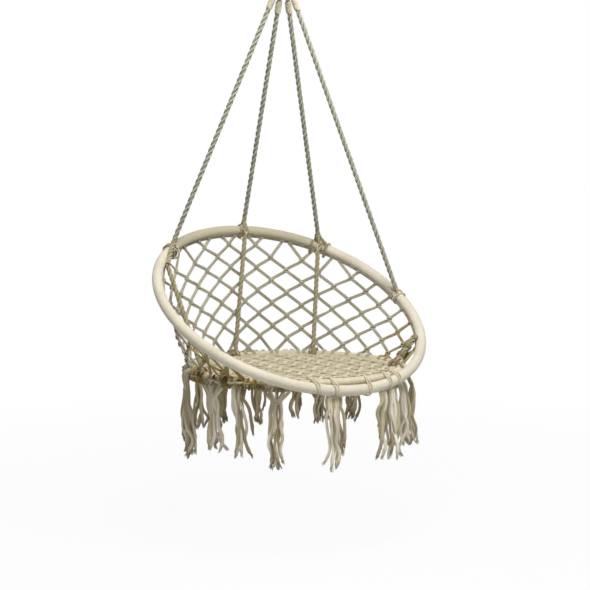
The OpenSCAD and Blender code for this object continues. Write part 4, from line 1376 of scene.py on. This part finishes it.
def fray(bundle, end, way, tone):
    """Loose fibres at the cut end of a cord, like a soft brush."""
    for _ in range(FRAY_FIBRES):
        start = end - 0.004 * way + draw.normal(0, 0.0018, 3)
        tip = end + FRAY * draw.uniform(0.5, 1.0) * unit(way + draw.normal(0, 0.13, 3))
        bend = (start + tip) / 2 + draw.normal(0, 0.0012, 3)
        fibre = evenly([start, bend, tip], 0.010)
        thick = np.linspace(*FIBRE_R, len(fibre))
        bundle.tube(fibre, thick, sides=4, tone=tone + draw.normal(0, 0.3))


def limp(drops, share):
    """Sideways waves of a limp cord, which grow from its head to its end."""
    slow = draw.uniform(0.005, 0.012) * np.sin(draw.uniform(20, 42) * drops + draw.uniform(0, math.tau))
    quick = draw.uniform(0.001, 0.005) * np.sin(draw.uniform(55, 100) * drops + draw.uniform(0, math.tau))
    return share**0.5 * (slow + quick)


def leg_path(along, outwards, hold, spread, length, over):
    """One leg of a folded cord: from its place in the head, past the gathering, to its end."""
    place, fold, gather = hold
    drops = np.array([0, 0.009, 0.018, GATHER, *np.linspace(0.28, 1.0, 8) * length])
    share = np.clip((drops - GATHER) / (length - GATHER), 0, 1)
    held = np.interp(drops, [0, GATHER], [1, gather]) * (1 - share)
    path = -np.outer(drops, Z_AXIS)
    path += np.outer(place * held + spread[0] * share**0.7 + limp(drops, share), along)
    out = np.interp(drops, [0, 0.5 * GATHER, GATHER], [0.3, 0.8, 1.0]) * fold
    path += np.outer(out * (1 - share) + spread[1] * share**0.7 + limp(drops, share), outwards)
    if not over:
        return path
    start = [place * along + rise * Z_AXIS + reach * outwards for rise, reach in OVER_WAY]
    return np.vstack([start, path[2:]])


def fold_cord(bundle, top, rise, outwards, legs, tone, painted_shade):
    """A cord folded over the edge: two limp legs, and the bend between them on the outside."""
    left, right = legs
    bend = (left[0] + right[0]) / 2 + rise * Z_AXIS + 0.002 * outwards
    route = evenly(top + np.vstack([left[::-1], bend, right]), FRINGE_STEP)
    thick = FRINGE_R * draw.uniform(0.85, 1.12) * np.ones(len(route))
    thick[[0, -1]] *= 0.85
    thick[[1, -2]] *= 1.15
    # Painted shade: the cord is darker close to the edge it hangs from.
    near_edge = np.clip(1 - (top - route)[:, 2] / FOLD_DARK, 0, 1)
    bundle.tube(route, thick, sides=7, tone=np.repeat(tone - painted_shade * near_edge, 7))
    for end, before in ((route[0], route[1]), (route[-1], route[-2])):
        fray(bundle, end, unit(end - before), tone)


# %% Hang the tassels
HOOP_RISE, SEAT_RISE, LOOPS, LOOP_SHADE = 0.003, 0.010, 6, 2.2
SHORT_CHANCE, SHORT_CUT, FULL_CUT = 0.15, (0.5, 0.75), (0.83, 0.92)
DRIFT, STRAY_ALONG, STRAY_OUT, TONE_STRAY = 0.005, 0.004, 0.010, 0.15
HEAD_CORD_R, HEAD_KNOT_R, HEAD_KNOT_OUT = 0.0027, 0.0076, 0.006

head_knot = wound_pattern(
    [(-0.0052, 14, -10, 0.92), (0, -10, 12, 1.1), (0.0052, 12, -8, 0.95)],
    HEAD_CORD_R, HEAD_KNOT_R, flat=0.9,
)
for k in range(TASSELS):
    a = (k + 0.5) * TASSEL_STEP + TASSEL_NUDGE[k]
    body, rise, loop_shade = "seat", SEAT_RISE, LOOP_SHADE
    if is_on_hoop(a):
        body, rise, loop_shade = "chair", HOOP_RISE, 0
    top, along, outwards = tassel_top(a), seat_along(a), -seat_inward(a)
    half, gather, wide, tones = tassel_kind(k)
    longest = (TASSEL_LEN + TASSEL_EXTRA[k] / 1000) * (LONG_SHARE if k == LONGEST else 1)
    drift = draw.normal(0, DRIFT, 2) + [0, FOLD_OUT[k] / 2]
    count = MANY_CORDS if k in FULLEST else FEW_CORDS
    bundle = Bundle()
    for n in range(count):
        legs = []
        for leg in (0.1, 0.9):
            place = 2 * (n + leg) / count - 1
            stray = [draw.normal(0, STRAY_ALONG), draw.normal(0, STRAY_OUT)]
            spread = drift + [wide * place + stray[0], stray[1]]
            cut = SHORT_CUT if draw.random() < SHORT_CHANCE else FULL_CUT
            length = longest * draw.uniform(*cut)
            hold = (half * place, FOLD_OUT[k], gather)
            legs.append(leg_path(along, outwards, hold, spread, length, k in OVER_HOOP))
        tone = tones[(n + k) % len(tones)] + draw.uniform(-TONE_STRAY, TONE_STRAY)
        fold_cord(bundle, top, rise, outwards, legs, tone, FOLD_SHADE if k in SHADED_TASSELS else 0)
    if k in WINGED:
        at = top - GATHER * Z_AXIS + HEAD_KNOT_OUT * outwards
        bundle.stamp(head_knot, at, along, outwards, -Z_AXIS)
    for place in np.linspace(-0.9, 0.9, LOOPS) * half:
        at = top + EDGE_D / 2 * Z_AXIS + place * along
        bundle.stamp(half_hitch, at, outwards, Z_AXIS, along, any_tone(None) - loop_shade)
    bundle.piece(f"cord_tassel_{k + 1}", fringe_yarn, body, "fringe_cord", [f"tassel_{k + 1}"])
print("tassels:", TASSELS)

# %% [markdown]
# ## Floor and light
# The photograph is a cut-out on white. A wide pale floor lies well under the fringe, and the world
# shows white to the camera and to reflections, but lights the chair as a soft grey sky. One large
# lamp above gives the bright tops and the dark undersides of the hoops, and a weak one at the front
# opens the deepest shadows.

# %% Floor
FLOOR_SIZE, FLOOR_DROP, FLOOR_GREY = 40, 0.5, (0.75, 0.75, 0.75, 1)
FADE_FROM, FADE_TO, NEAR_GLOW = 1.7, 3.2, 0.93


def seen_directly(tree):
    """1 for what the camera sees, also in a reflection, and 0 for light that falls on the chair."""
    rays = node(tree, "LightPath", {})
    seen = calc(tree, "MAXIMUM", rays["Is Camera Ray"], rays["Is Glossy Ray"])
    return calc(tree, "MAXIMUM", seen, rays["Is Transmission Ray"])


bpy.ops.object.select_all(action="DESELECT")
bpy.ops.mesh.primitive_plane_add(size=FLOOR_SIZE, location=(0, 0, SEAT_MID[2] - FLOOR_DROP))
floor = bpy.context.object
floor.name = "pale_floor"
bpy.ops.object.transform_apply(location=True, rotation=True, scale=True)
finish, tree, surface = blank_finish("floor_white", {"Roughness": 0.9, "Base Color": FLOOR_GREY})
place = node(tree, "TexCoord", {})["Object"]
reach = node(tree, "VectorMath", {0: place}, operation="LENGTH")["Value"]
fade = {"Value": reach, "From Min": FADE_FROM, "From Max": FADE_TO, "To Min": NEAR_GLOW}
glow = calc(tree, "MULTIPLY", seen_directly(tree), node(tree, "MapRange", fade)["Result"])
mixed = node(tree, "MixShader", {0: glow, 1: surface.outputs[0], 2: node(tree, "Emission", {})[0]})
wire(tree, mixed[0], tree.nodes["Material Output"].inputs["Surface"])
floor.data.materials.append(finish)
print("floor at", round(SEAT_MID[2] - FLOOR_DROP, 3))

# %% World and lamps
SKY = 0.25
world = bpy.data.worlds.new("studio")
bpy.context.scene.world = world
world.use_nodes = True
tree = world.node_tree
background = tree.nodes["Background"]
background.inputs["Color"].default_value = (1, 1, 1, 1)
strength = calc(tree, "MULTIPLY_ADD", seen_directly(tree), 1 - SKY, SKY)
wire(tree, strength, background.inputs["Strength"])


def soft_lamp(name, place, size, power):
    """A square lamp that looks at the middle of the seat."""
    bpy.ops.object.select_all(action="DESELECT")
    bpy.ops.object.light_add(type="AREA", location=place)
    lamp = bpy.context.object
    lamp.name = name
    lamp.data.size = size
    lamp.data.energy = power
    back = unit(np.array(place) - SEAT_MID)
    right = unit(np.cross([0.0, 1.0, 0.1], back))
    stand(lamp, place, right, np.cross(back, right), back)


soft_lamp("top_lamp", (-0.25, -1.25, 1.0), 1.2, 68)
soft_lamp("front_lamp", (-1.9, -2.6, 0.2), 1.6, 7)
print("floor, sky and lamps ready")
